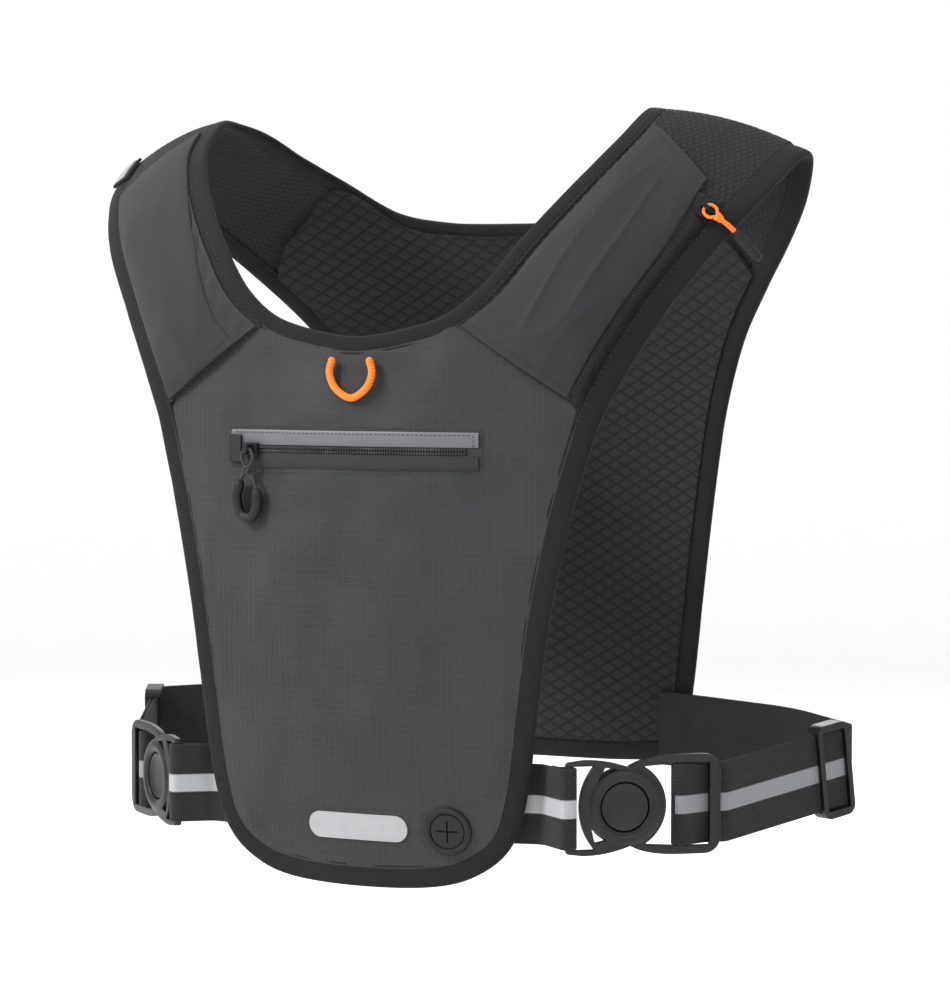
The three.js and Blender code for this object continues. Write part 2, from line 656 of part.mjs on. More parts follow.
/** Plan position from a buckle's own frame: x along the belt, n outward. */
function fromBuckle(x, n) {
  return new THREE.Vector2(
    buckleCentre.x + x * Math.cos(tilt) + n * Math.sin(tilt),
    buckleCentre.y + x * Math.sin(tilt) - n * Math.cos(tilt),
  );
}
const beltPlate = bucklePlate / 2;                 // belt half lies from -beltPlate to beltPlate
const wrap = Math.hypot(barRadius, beltPlate) + gap + webbingThick / 2;  // webbing round a bar
const frontBase = beltPlate + gap + 0.2;           // underside of the front half
const frontBarN = frontBase + bucklePlate / 2;
const outerBarX = beltFrameLength - 5.5;

/** One of the route's corners with its own rounding radius. */
function roundedRoute(corners) {
  const points = [corners[0][0]];
  for (let i = 1; i < corners.length - 1; i++) {
    const [corner, radius] = corners[i];
    const back = corners[i - 1][0].clone().sub(corner);
    const on = corners[i + 1][0].clone().sub(corner);
    const start = corner.clone().addScaledVector(back.normalize(), radius);
    const end = corner.clone().addScaledVector(on.normalize(), radius);
    const bend = new THREE.QuadraticBezierCurve(start, corner, end);
    points.push(...bend.getPoints(5));
  }
  points.push(corners[corners.length - 1][0]);
  return points;
}

const dip = -(beltPlate + gap + 0.2 + webbingThick / 2);  // belt under the outer bar
const beltStart = fromBuckle(beltFrameLength + 4, dip);
const beltAlong = beltCorner.clone().sub(beltStart).normalize();
const beltOut = new THREE.Vector2(beltAlong.y, -beltAlong.x);
const plyPitch = webbingThick + gap;
const innerStart = beltStart.clone().addScaledVector(beltOut, -plyPitch);
const triglideBack = 4;           // from the belt's corner to the triglide
const triglideMiddle = beltCorner.clone().addScaledVector(beltAlong, -(triglideLength / 2 + triglideBack));
const innerEnd = triglideMiddle.clone().addScaledVector(beltOut, -plyPitch).addScaledVector(beltAlong, 4);
const rootX = 66;
const insideBack = (x) => backY(x, beltRootZ) - liningThick - layerGap - webbingThick / 2 - gap;
const beltRoute = roundedRoute([
  [new THREE.Vector2(rootX, insideBack(rootX))],
  [new THREE.Vector2(85, insideBack(85) - 0.2), 4],
  [new THREE.Vector2(150, 74), 18],
  [beltCorner, 5],
  [beltStart, 2],
  [fromBuckle(outerBarX - 0.5, dip), 1],
  [fromBuckle(beltBarX + 1.6, wrap), 1.4],
  [fromBuckle(beltBarX - wrap, wrap), wrap],
  [fromBuckle(beltBarX - wrap, -wrap), wrap],
  [fromBuckle(beltBarX + 4, -wrap), 1],
  [fromBuckle(outerBarX, dip - plyPitch), 1],
  [innerStart, 2],
  [innerEnd],
]);
function beltHeight(point) {
  if (point.y > beltCorner.y) {
    return lerp(beltCornerZ, beltRootZ, (point.y - beltCorner.y) / (insideBack(rootX) - beltCorner.y));
  }
  const down = (beltCorner.y - point.y) / (beltCorner.y - beltStart.y);
  return lerp(beltCornerZ, buckleCentre.z, Math.min(down, 1));
}
addPair('belt_webbing', webbing(beltRoute, beltHeight), 'webbing');

// Short front webbing: sewn behind the front panel, round the front half's bar and back on itself.
const stubX = 66;
const stubLow = buckleCentre.z - webbingWidth / 2;
const behindFront = (x) => frontY(x, stubLow) + liningThick + layerGap + webbingThick / 2 + gap;
const stubBend = new THREE.Vector2(88.5, behindFront(88.5));
const stubTurn = fromBuckle(frontBarX - 3.2, frontBarN + wrap);
const stubAhead = stubTurn.clone().sub(stubBend).normalize();
const stubInward = new THREE.Vector2(-stubAhead.y, stubAhead.x);
const returnPly = (share) => stubBend.clone().lerp(stubTurn, share)
  .addScaledVector(stubInward, plyPitch + 0.1);
const stubRoute = roundedRoute([
  [new THREE.Vector2(stubX, behindFront(stubX))],
  [stubBend, 3],
  [stubTurn, 0.8],
  [fromBuckle(frontBarX + wrap, frontBarN + wrap), wrap],
  [fromBuckle(frontBarX + wrap, frontBarN - wrap), wrap],
  [returnPly(0.6), 1],
  [returnPly(0.3)],
]);
addPair('front_webbing', webbing(stubRoute, () => buckleCentre.z), 'webbing');

/** Front buckle half: a frame that holds the webbing bar and ends in a ring. */
function frontHalf() {
  const outline = new THREE.Shape();
  const high = frontFrameHeight / 2;
  const left = frontBarX - barRadius;
  const meet = 1.35;              // angle where the arms meet the ring
  const meetX = ringRadius * Math.cos(meet);
  const meetY = ringRadius * Math.sin(meet);
  outline.moveTo(left, high - 2);
  outline.lineTo(left, -high + 2);
  outline.quadraticCurveTo(left, -high, left + 2, -high);
  outline.lineTo(-20, -high - 0.8);
  outline.quadraticCurveTo(-8, -high - 1, meetX, -meetY);
  outline.absarc(0, 0, ringRadius, -meet, meet, false);
  outline.quadraticCurveTo(-8, high + 1, -20, high + 0.8);
  outline.lineTo(left + 2, high);
  outline.quadraticCurveTo(left, high, left, high - 2);
  const eye = webbingWidth / 2 + 0.4;
  const window = new THREE.Path();
  const bow = Math.asin(eye / 30);
  window.moveTo(frontBarX + barRadius, -eye);
  window.lineTo(frontBarX + barRadius, eye);
  window.absarc(8, 0, 30, Math.PI - bow, Math.PI + bow, false);
  window.closePath();
  outline.holes.push(window);
  const upperCorner = new THREE.Path();
  upperCorner.moveTo(-12.9, 12.2);
  upperCorner.lineTo(-9.5, 18.6);
  upperCorner.lineTo(-3.9, 17.5);
  upperCorner.closePath();
  const lowerCorner = new THREE.Path();
  lowerCorner.moveTo(-16.2, -9.4);
  lowerCorner.lineTo(-12.7, -12.5);
  lowerCorner.lineTo(-9, -15.2);
  lowerCorner.lineTo(-14.5, -16.3);
  lowerCorner.closePath();
  outline.holes.push(upperCorner, lowerCorner);
  const eyeOfDisc = new THREE.Path();
  eyeOfDisc.absarc(0, 0, discRadius, 0, 2 * Math.PI, true);
  outline.holes.push(eyeOfDisc);
  return plate(outline, frontBase, frontBase + bucklePlate, 12);
}
addPair('buckle_front', seat(frontHalf(), buckleCentre, buckleTilt), 'plastic');
const discSink = 0.8;             // the disc's face lies this far below the plate's
const pushDisc = disc(discRadius - gap, frontBase, frontBase + bucklePlate - discSink);
addPair('buckle_disc', seat(pushDisc, buckleCentre, buckleTilt), 'plastic');

/** Belt buckle half: a round receiver, two webbing windows and a rounded outer end. */
function beltHalf() {
  const outline = new THREE.Shape();
  const high = beltFrameHeight / 2;
  const round = 8;
  outline.moveTo(beltBarX, -high);
  outline.lineTo(beltFrameLength - round, -high);
  outline.absarc(beltFrameLength - round, -high + round, round, -Math.PI / 2, 0, false);
  outline.absarc(beltFrameLength - round, high - round, round, 0, Math.PI / 2, false);
  outline.lineTo(beltBarX, high);
  const meet = 1.45;              // angle where the frame meets the receiver
  outline.quadraticCurveTo(10, high, ringRadius * Math.cos(meet), ringRadius * Math.sin(meet));
  outline.absarc(0, 0, ringRadius, meet, 2 * Math.PI - meet, false);
  outline.quadraticCurveTo(10, -high, beltBarX, -high);
  const eye = webbingWidth / 2 + 0.4;
  const ridge = 21;
  const outer = new THREE.Path();
  outer.moveTo(beltBarX + barRadius, -eye);
  outer.lineTo(outerBarX, -eye);
  outer.lineTo(outerBarX, eye);
  outer.lineTo(beltBarX + barRadius, eye);
  outer.closePath();
  const inner = new THREE.Path();
  inner.moveTo(beltBarX - barRadius, eye - 0.15);
  inner.lineTo(beltBarX - barRadius, -eye + 0.15);
  inner.absarc(0, 0, ridge, -Math.PI / 3, Math.PI / 3, false);
  inner.closePath();
  outline.holes.push(outer, inner);
  return cut(plate(outline, -beltPlate, beltPlate), disc(8, -5, 0.7));
}
addPair('buckle_belt', seat(beltHalf(), buckleCentre, buckleTilt), 'plastic');
addPair('buckle_magnet', seat(disc(8 - gap, -beltPlate, 0.7 - gap), buckleCentre, buckleTilt), 'metal');

/** Strap adjuster: two outer bars over the webbing, a middle bar under it, joined at both edges. */
function triglide() {
  const half = triglideLength / 2;
  const eye = webbingWidth / 2 + 0.4;
  const top = webbingThick / 2 + 0.4;
  const bottom = top - 2 * webbingThick - 1.1;
  const body = plate(roundedRectangle(0, 0, triglideLength, triglideHeight, 5), bottom - 2, top + 2);
  const reach = half + 1;
  return cut(body,
    block(-reach, reach, -eye, eye, bottom, top),
    block(-half + 3, half - 3, -eye, eye, top - 0.1, top + 3),
    block(-reach, -2, -eye, eye, bottom - 3, bottom + 0.1),
    block(2, reach, -eye, eye, bottom - 3, bottom + 0.1));
}
const triglideZ = beltHeight(triglideMiddle);
const fall = (buckleCentre.z - beltCornerZ) / beltCorner.distanceTo(beltStart);
const slideAlong = vec(beltAlong.x, beltAlong.y, -fall).normalize();
const slideOut = vec(beltOut.x, beltOut.y, 0);
const slideFrame = new THREE.Matrix4()
  .makeBasis(slideAlong, slideOut.clone().cross(slideAlong), slideOut)
  .setPosition(triglideMiddle.x, triglideMiddle.y, triglideZ);
addPair('triglide', triglide().applyMatrix4(slideFrame), 'plastic');

export default vest;
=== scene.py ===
"""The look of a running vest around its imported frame.

The shape of the vest is worked out in millimetres, as its maker would, and every mesh is written
in metres. The front faces -Y, +X is the wearer's left side and the origin lies midway between the
crests of the two shoulder straps.
"""
from __future__ import annotations

import logging
import math
from dataclasses import dataclass, field
from enum import Enum
from typing import Callable, Iterable, Sequence

import bmesh
import bpy
import numpy as np
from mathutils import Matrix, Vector


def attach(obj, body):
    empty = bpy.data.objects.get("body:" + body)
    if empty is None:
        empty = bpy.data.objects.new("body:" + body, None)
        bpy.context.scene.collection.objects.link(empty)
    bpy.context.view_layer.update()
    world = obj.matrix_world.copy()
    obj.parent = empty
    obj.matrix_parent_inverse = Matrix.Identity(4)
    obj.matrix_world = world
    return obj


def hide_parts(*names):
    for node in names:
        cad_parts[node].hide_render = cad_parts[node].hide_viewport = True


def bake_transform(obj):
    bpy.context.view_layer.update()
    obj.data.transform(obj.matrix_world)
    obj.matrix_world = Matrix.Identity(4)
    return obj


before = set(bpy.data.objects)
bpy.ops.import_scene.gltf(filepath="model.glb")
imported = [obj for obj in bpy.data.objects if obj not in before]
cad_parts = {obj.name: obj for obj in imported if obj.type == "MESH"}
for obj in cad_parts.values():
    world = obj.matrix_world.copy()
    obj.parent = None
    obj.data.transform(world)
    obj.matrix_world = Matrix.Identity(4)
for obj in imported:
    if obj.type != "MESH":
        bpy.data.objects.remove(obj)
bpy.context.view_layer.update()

MM = 0.001
DOUBLED = 2e-6
WELD = 1e-5
UV_NAME = "cloth"
VEST_MIDDLE = np.array([0.0, 0.0, -180.0])
log = logging.getLogger("vest")

Points = np.ndarray
Piece = bpy.types.Object
Pair = tuple[float, float]


# ---------------------------------------------------------------------------- curves and grids
class Line:
    """A smooth curve through chosen points, read at shares from 0 to 1."""

    def __init__(self, points: Sequence[Sequence[float]], even: bool = False, closed: bool = False) -> None:
        """Args:
            points: the points that the curve passes through.
            even: give each span the same weight, as for a flat outline.
            closed: join the last point to the first.
        """
        self.points = np.array(points, float)
        self.even = even
        self.closed = closed
        first, second = self.points[0], self.points[1]
        last, before = self.points[-1], self.points[-2]
        ends = (first, last) if even else (2 * first - second, 2 * last - before)
        self.padded = np.vstack([ends[0], self.points, ends[1]])

    def _pick(self, index: Points) -> Points:
        """The control points at these places, past the ends too."""
        if self.closed:
            return self.points[index % len(self.points)]
        return self.padded[index + 1]

    def at(self, shares: Points | float) -> Points:
        """Points of the curve.

        Args:
            shares: places along the curve, 0 at its start and 1 at its end.

        Returns:
            One row for each share.
        """
        shares = np.atleast_1d(np.asarray(shares, float))
        spans = len(self.points) - (0 if self.closed else 1)
        index = np.clip(np.floor(shares * spans).astype(int), 0, spans - 1)
        w = (shares * spans - index)[:, None]
        a, b, c, d = (self._pick(index + k) for k in (-1, 0, 1, 2))
        if self.even:
            steps = [np.ones_like(w)] * 3
        else:
            steps = [np.maximum(np.linalg.norm(q - p, axis=1, keepdims=True), 1e-6) ** 0.5
                     for p, q in ((a, b), (b, c), (c, d))]
        s0, s1, s2 = steps
        m1 = ((b - a) / s0 - (c - a) / (s0 + s1) + (c - b) / s1) * s1
        m2 = ((c - b) / s1 - (d - b) / (s1 + s2) + (d - c) / s2) * s1
        return (b + m1 * w + (3 * (c - b) - 2 * m1 - m2) * w ** 2 + (2 * (b - c) + m1 + m2) * w ** 3)


def unit(v: Points) -> Points:
    """Rows scaled to length one."""
    return v / np.maximum(np.linalg.norm(v, axis=-1, keepdims=True), 1e-12)


def smoothstep(low: float, high: float, x: Points) -> Points:
    """0 below low, 1 above high and smooth between."""
    t = np.clip((x - low) / (high - low), 0, 1)
    return t * t * (3 - 2 * t)


def lengths_along(points: Points) -> Points:
    """Distance of each point from the first, along the line."""
    steps = np.linalg.norm(np.diff(points, axis=0), axis=1)
    return np.concatenate([[0.0], np.cumsum(steps)])


def resample(points: Points, spacing: float, *others: Points) -> list[Points]:
    """Evenly spaced points along a line, and the matching points of other lines.

    Args:
        points: the line that sets the spacing.
        spacing: distance between neighbours.
        others: lines with as many points as the first.

    Returns:
        The resampled lines, in order.
    """
    along = lengths_along(points)
    count = max(int(round(along[-1] / spacing)), 2)
    targets = np.linspace(0, along[-1], count + 1)
    return [np.stack([np.interp(targets, along, line[:, k]) for k in range(line.shape[1])], axis=1)
            for line in (points, *others)]


def soften_loop(points: Points, reach: int) -> Points:
    """A closed line with its corners eased.

    Args:
        points: the line, without its first point again at its end.
        reach: how many neighbours each way share in a point's new place.

    Returns:
        As many points as before.
    """
    kernel = np.hanning(2 * reach + 3)[1:-1]
    kernel /= kernel.sum()
    padded = np.vstack([points[-reach:], points, points[:reach]])
    return np.stack([np.convolve(padded[:, k], kernel, "valid") for k in range(3)], axis=1)


def grid_normals(grid: Points) -> Points:
    """Directions square to a grid of points, pointing away from the middle of the vest.

    Args:
        grid: points by rows and columns.

    Returns:
        One direction of length one for each point.
    """
    du = np.gradient(grid, axis=0)
    dv = np.gradient(grid, axis=1)
    normals = unit(np.cross(du, dv))
    outward = ((grid - VEST_MIDDLE) * normals).sum()
    return normals if outward > 0 else -normals


def ripple(x: Points, y: Points, wave: float, seed: int, count: int = 6) -> Points:
    """Soft uneven waves over a place given in millimetres, about 1 high.

    Args:
        x: place across.
        y: place up.
        wave: typical distance between crests.
        seed: picks the directions and phases.
        count: how many waves are added together.

    Returns:
        One height for each place.
    """
    random = np.random.default_rng(seed)
    total = np.zeros_like(x, float)
    for _ in range(count):
        angle, phase = random.uniform(0, 2 * math.pi, 2)
        length = wave * random.uniform(0.7, 1.5)
        turn = 2 * math.pi * (x * math.cos(angle) + y * math.sin(angle)) / length
        total += np.sin(turn + phase)
    return total / count * 1.6


# ---------------------------------------------------------------------------- meshes
def put(name: str, data: bpy.types.ID) -> Piece:
    """An object in the scene from its mesh, curve, camera or light."""
    piece = bpy.data.objects.new(name, data)
    bpy.context.scene.collection.objects.link(piece)
    return piece


def make_object(name: str, verts: Points, faces: list[tuple[int, ...]], uvs: Points | None = None,
                sharp: float = 45.0) -> Piece:
    """A mesh object from points in millimetres, its faces turned outward.

    Args:
        name: the piece's name.
        verts: its points.
        faces: corners of each face.
        uvs: one place on the cloth for each corner of each face, in millimetres.
        sharp: edges bent more than this many degrees stay crisp.

    Returns:
        The new object, at the origin.
    """
    mesh = bpy.data.meshes.new(name)
    mesh.from_pydata((verts * MM).tolist(), [], faces)
    if uvs is not None:
        layer = mesh.uv_layers.new(name=UV_NAME)
        layer.data.foreach_set("uv", (np.asarray(uvs, float) * MM).ravel())
    finish_mesh(mesh, sharp)
    return put(name, mesh)


def finish_mesh(mesh: bpy.types.Mesh, sharp: float) -> None:
    """Joins doubled points, turns the faces outward and shades them smooth.

    Args:
        mesh: the mesh, changed in place.
        sharp: edges bent more than this many degrees stay crisp.
    """
    bm = bmesh.new()
    bm.from_mesh(mesh)
    bmesh.ops.remove_doubles(bm, verts=bm.verts, dist=DOUBLED)
    bmesh.ops.recalc_face_normals(bm, faces=bm.faces)
    bm.to_mesh(mesh)
    bm.free()
    mesh.shade_smooth()
    mesh.set_sharp_from_angle(angle=math.radians(sharp))


def slab(name: str, grid: Points, low: Points | float, high: Points | float,
         flat: bool = False) -> Piece:
    """Cloth of a thickness laid over a grid of points.

    Args:
        name: the piece's name.
        grid: points of the surface, by rows and columns.
        low: how far its inner face lies out from the surface.
        high: the same for its outer face.
        flat: the cloth's threads run straight across and up, whatever the grid does.

    Returns:
        One closed piece with the cloth's own lengths as its map.
    """
    nu, nv = grid.shape[:2]
    normals = grid_normals(grid)
    heights = [np.broadcast_to(np.asarray(height, float), (nu, nv)) for height in (high, low)]
    verts = np.concatenate([(grid + normals * height[..., None]).reshape(-1, 3) for height in heights])
    place = cloth_places(grid, flat).reshape(-1, 2)
    place = np.concatenate([place, place])
    step = nu * nv

    def index(i: int, j: int, layer: int) -> int:
        """Number of a point of the grid."""
        return layer * step + i * nv + j

    faces = []
    for i in range(nu - 1):
        for j in range(nv - 1):
            for layer in (0, 1):
                faces.append((index(i, j, layer), index(i + 1, j, layer),
                              index(i + 1, j + 1, layer), index(i, j + 1, layer)))
    rim = [(i, 0) for i in range(nu)] + [(nu - 1, j) for j in range(1, nv)]
    rim += [(i, nv - 1) for i in range(nu - 2, -1, -1)] + [(0, j) for j in range(nv - 2, 0, -1)]
    for a, b in zip(rim, rim[1:] + rim[:1]):
        faces.append((index(*a, 0), index(*b, 0), index(*b, 1), index(*a, 1)))
    uvs = place[np.array(faces).ravel()]
    return make_object(name, verts, faces, uvs)


def cloth_places(grid: Points, flat: bool) -> Points:
    """Each point's place on its cloth.

    Args:
        grid: points by rows and columns.
        flat: the threads run straight across and up, whatever the grid does.

    Returns:
        Distance along the cloth and across it, in millimetres.
    """
    if flat:
        return np.stack([grid[..., 0], grid[..., 2]], axis=-1)
    middle = lengths_along(grid[:, grid.shape[1] // 2])
    across = lengths_along(grid[grid.shape[0] // 2])
    return np.stack(np.meshgrid(middle, across, indexing="ij"), axis=-1)


def sweep(name: str, rings: Points, closed: bool, places: Points | None = None,
          sharp: float = 60.0) -> Piece:
    """A skin over a row of equal closed sections.

    Args:
        name: the piece's name.
        rings: points by section, then round the section.
        closed: join the last section to the first, else close both ends.
        places: the cloth's place at each face's first corner round a section, in millimetres.
        sharp: edges bent more than this many degrees stay crisp.

    Returns:
        One closed piece.
    """
    count, sides = rings.shape[:2]
    along = lengths_along(rings.mean(axis=1))
    total = along[-1] + (np.linalg.norm(rings[0].mean(0) - rings[-1].mean(0)) if closed else 0)
    around = lengths_along(np.vstack([rings[0], rings[0][:1]]))
    faces, uvs = [], []
    for i in range(count if closed else count - 1):
        n = (i + 1) % count
        s0, s1 = along[i], total if n == 0 else along[n]
        for j in range(sides):
            k = (j + 1) % sides
            faces.append((i * sides + j, n * sides + j, n * sides + k, i * sides + k))
            if places is None:
                v0, v1 = around[j], around[j + 1]
            else:
                v0, v1 = places[i, j]
            uvs += [(s0, v0), (s1, v0), (s1, v1), (s0, v1)]
    if not closed:
        for ring, turn in ((0, 1), (count - 1, -1)):
            cap = tuple(ring * sides + j for j in range(sides))[::turn]
            faces.append(cap)
            uvs += [(along[ring], around[j]) for j in range(sides)]
    return make_object(name, rings.reshape(-1, 3), faces, np.array(uvs), sharp)


def tube(name: str, path: Points, radius: Points | float, sides: int = 12) -> Piece:
    """A round cord along a path, with rounded ends.

    Args:
        name: the piece's name.
        path: points of its middle line.
        radius: one for the whole cord, or one for each point.
        sides: how many steps round.

    Returns:
        One closed piece.
    """
    off_axis = [0.3, 0.5, 0.81]
    ahead = unit(np.gradient(path, axis=0))
    side = np.zeros_like(path)
    side[0] = unit(np.cross(ahead[0], off_axis))
    for i in range(1, len(path)):
        carried = side[i - 1] - ahead[i] * (side[i - 1] @ ahead[i])
        side[i] = unit(carried)
    up = np.cross(ahead, side)
    radii = np.broadcast_to(np.asarray(radius, float), len(path)).copy()
    turn = np.linspace(0, 2 * math.pi, sides, endpoint=False)
    circle = np.cos(turn)[None, :, None] * side[:, None] + np.sin(turn)[None, :, None] * up[:, None]
    rings = path[:, None] + circle * radii[:, None, None]
    ends = []
    for end, sign in ((0, -1), (-1, 1)):
        cap = []
        for share in (0.5, 0.85, 0.98):
            shrink = math.sqrt(1 - share ** 2)
            cap.append(path[end] + (sign * ahead[end] * share + circle[end] * shrink) * radii[end])
        ends.append(np.array(cap))
    rings = np.concatenate([ends[0][::-1], rings, ends[1]])
    return sweep(name, rings, False)


def lathe(name: str, profile: Sequence[Pair], place: Callable[[Points], Points],
          sides: int = 64) -> Piece:
    """A round piece from its outline, put in place.

    Args:
        name: the piece's name.
        profile: radius and height of each corner of the outline, closed on itself.
        place: turns points of the piece's own frame into the vest's.
        sides: how many steps round.

    Returns:
        One closed piece.
    """
    turn = np.linspace(0, 2 * math.pi, sides, endpoint=False)
    shape = np.array(profile, float)
    rings = np.stack([
        shape[None, :, 0] * np.cos(turn)[:, None],
        shape[None, :, 0] * np.sin(turn)[:, None],
        np.broadcast_to(shape[None, :, 1], (sides, len(shape))),
    ], axis=-1)
    return sweep(name, place(rings.reshape(-1, 3)).reshape(rings.shape), True, sharp=35)


# ---------------------------------------------------------------------------- the vest's own surface
class Side(Enum):
    """The wearer's side: its value is the sign of X there."""

    LEFT = 1
    RIGHT = -1


@dataclass(frozen=True)
class VestShape:
    """The surface that every cloth piece follows, in millimetres."""

    chest_radius: float = 380.0
    chest_y: float = -109.0
    back_radius: float = 487.0
    neck_drop: float = -98.0
    hem_z: float = -369.0
    back_hem_z: float = -331.0
    chest_hollow: float = 3.5
    hem_tuck: float = 5.0
    nape_y: float = 112.0
    nape_fall: float = 110.0
    nape_z: float = -50.0
    nape_ease: float = 38.0
    back_tuck: float = 3.0
    back_tuck_z: Pair = (-250.0, -330.0)
    puff: float = 3.5
    puff_half_width: float = 80.0
    puff_bottom: float = -357.0
    puff_top: float = -125.0
    arch: float = 5.0
    neck_width: float = 9.0
    edge_width: float = 12.0

    def front_y(self, x: Points, z: Points) -> Points:
        """Depth of the front at a place on it."""
        down = np.clip((self.neck_drop - z) / (self.neck_drop - self.hem_z), 0, 1)
        fall = self.hem_tuck * down ** 2 - self.chest_hollow * np.sin(np.pi * down)
        return self.chest_y + fall + x ** 2 / (2 * self.chest_radius)

    def back_y(self, x: Points, z: Points) -> Points:
        """Depth of the back at a place on it."""
        start, end = self.back_tuck_z
        tuck = np.clip((start - z) / (start - end), 0, 1)
        nape = self.nape_fall / (1 + np.exp((self.nape_z - z) / self.nape_ease))
        return self.nape_y - nape - self.back_tuck * tuck ** 2 - x ** 2 / (2 * self.back_radius)

    def on_front(self, flat: Points) -> Points:
        """Points on the front from rows of x and z."""
        x, z = flat[..., 0], flat[..., 1]
        return np.stack([x, self.front_y(x, z), z], axis=-1)

    def on_back(self, flat: Points) -> Points:
        """Points on the back from rows of x and z."""
        x, z = flat[..., 0], flat[..., 1]
        return np.stack([x, self.back_y(x, z), z], axis=-1)

    def swell(self, x: Points, z: Points) -> Points:
        """How far the front pocket stands out."""
        up = np.clip((z - self.puff_bottom) / (self.puff_top - self.puff_bottom), 0, 1)
        across = np.maximum(1 - (x / self.puff_half_width) ** 2, 0)
        return self.puff * 4 * up * (1 - up) * across

    def on_pocket(self, x: Points, z: Points, out: Points | float = 0.0) -> Points:
        """Points on the pocket's face, pushed out by so much."""
        return np.stack([x, self.front_y(x, z) - self.swell(x, z) - out, z], axis=-1)

    # The strap's edges, from the crest of the shoulder to the seam of the front and of the back.
    @property
    def neck_front(self) -> Line:
        """Neck-side edge of the strap, down the front."""
        seam = self.on_front(np.array([45.0, self.neck_drop]))
        return Line([(115, -28, -1), (114.8, -33, -1.6), (111, -57, -16), (98, -78, -37),
                     (79, -95, -63), (62, -103, -85), seam])

    @property
    def arm_front(self) -> Line:
        """Arm-side edge of the strap, down the front."""
        seam = self.on_front(np.array([118.0, -147.0]))
        return Line([(186, -1, -22), (185.8, -6, -22.8), (180, -36, -40), (166, -60, -64),
                     (147, -76, -93), (131, -86, -121), seam])

    @property
    def neck_back(self) -> Line:
        """Neck-side edge of the strap, down the back."""
        seam = self.on_back(np.array([82.0, -30.0]))
        return Line([(115, -28, -1), (114.6, -23, -1.6), (106, -8, -6), (95, 14, -18), seam])

    @property
    def arm_back(self) -> Line:
        """Arm-side edge of the strap, down the back."""
        seam = self.on_back(np.array([143.0, -82.0]))
        return Line([(186, -1, -22), (185.7, 4, -23), (177, 20, -41), (162, 39, -60), seam])

    @property
    def front_outline(self) -> Line:
        """Sides and hem of the front from the +X seam round to the -X seam, as x and z."""
        half = [(118, -147), (106, -190), (96.5, -235), (90, -280),
                (84, -322), (76, -346), (60, -360), (38, -367)]
        return Line([*half, (0, self.hem_z), *((-x, z) for x, z in reversed(half))], even=True)

    @property
    def back_outline(self) -> Line:
        """The same for the back."""
        half = [(143, -82), (122, -110), (107, -145), (98, -185),
                (90.5, -235), (84, -290), (80, -313), (66, -328)]
        return Line([*half, (0, self.back_hem_z), *((-x, z) for x, z in reversed(half))], even=True)

    def edges(self, share: Points) -> tuple[Points, Points, Points]:
        """The two edges of the +X strap.

        Args:
            share: 0 at the crest, 1 at the front seam and -1 at the back seam.

        Returns:
            Points of the neck edge, points of the arm edge and the width between them.
        """
        t, ahead = np.abs(share), (share >= 0)[:, None]
        inner = np.where(ahead, self.neck_front.at(t), self.neck_back.at(t))
        outer = np.where(ahead, self.arm_front.at(t), self.arm_back.at(t))
        return inner, outer, np.linalg.norm(outer - inner, axis=1)

    def strap(self, inward: Points | float, share: Points | float, side: Side = Side.LEFT) -> Points:
        """Points of a shoulder strap.

        Args:
            inward: millimetres in from the neck edge, or minus that from the arm edge.
            share: 0 at the crest, 1 at the front seam and -1 at the back seam.
            side: which of the two straps.

        Returns:
            Points with the shape of the two inputs.
        """
        inward, share = np.broadcast_arrays(np.asarray(inward, float), np.asarray(share, float))
        shape = share.shape
        inward, share = inward.ravel(), share.ravel()
        inner, outer, width = self.edges(share)
        across = np.where(inward < 0, (width + inward) / width, inward / width)
        lift = self.arch * 4 * across * (1 - across)
        lean = np.sin(np.minimum(np.abs(share) * 1.2, 1) * np.pi / 2)
        points = inner + (outer - inner) * across[:, None]
        points[:, 1] -= np.sign(share + 1e-9) * lift * lean
        points[:, 2] += lift * (1 - lean)
        points[:, 0] *= side.value
        return points.reshape(*shape, 3)

    @staticmethod
    def inset(outline: Line, t: Points, inset: float) -> Points:
        """Points of a flat outline moved inward.

        Args:
            outline: the flat line.
            t: shares along it.
            inset: how far its points move.

        Returns:
            One row for each share.
        """
        step = 1e-4
        ahead = unit(outline.at(np.clip(t + step, 0, 1)) - outline.at(np.clip(t - step, 0, 1)))
        return outline.at(t) + np.stack([ahead[:, 1], -ahead[:, 0]], axis=1) * inset

    def edge_lines(self, spacing: float = 2.5) -> tuple[Points, Points]:
        """The vest's whole outer edge as a closed loop, and the inner side of its binding.

        Args:
            spacing: distance between points.

        Returns:
            Points on the edge and the matching points one binding width in.
        """
        t = np.linspace(0.002, 0.998, 260)
        shares = np.linspace(0.99, 0.012, 60)
        runs: list[tuple[Points, Points]] = []

        def hem(outline: Line, place: Callable[[Points], Points], order: Points) -> None:
            """Adds the sides and hem of a panel."""
            runs.append((place(outline.at(order)), place(self.inset(outline, order, self.edge_width))))

        def arm(side: Side, order: Points) -> None:
            """Adds the arm edge of a strap."""
            runs.append((self.strap(-0.01, order, side), self.strap(-self.edge_width, order, side)))

        hem(self.front_outline, self.on_front, t)
        arm(Side.RIGHT, np.concatenate([shares, -shares[::-1]]))
        hem(self.back_outline, self.on_back, t[::-1])
        arm(Side.LEFT, np.concatenate([-shares, shares[::-1]]))
        edge = np.concatenate([run[0] for run in runs])
        inner = np.concatenate([run[1] for run in runs])
        edge, inner = resample(np.vstack([edge, edge[:1]]), spacing, np.vstack([inner, inner[:1]]))
        return soften_loop(edge[:-1], 3), soften_loop(inner[:-1], 5)

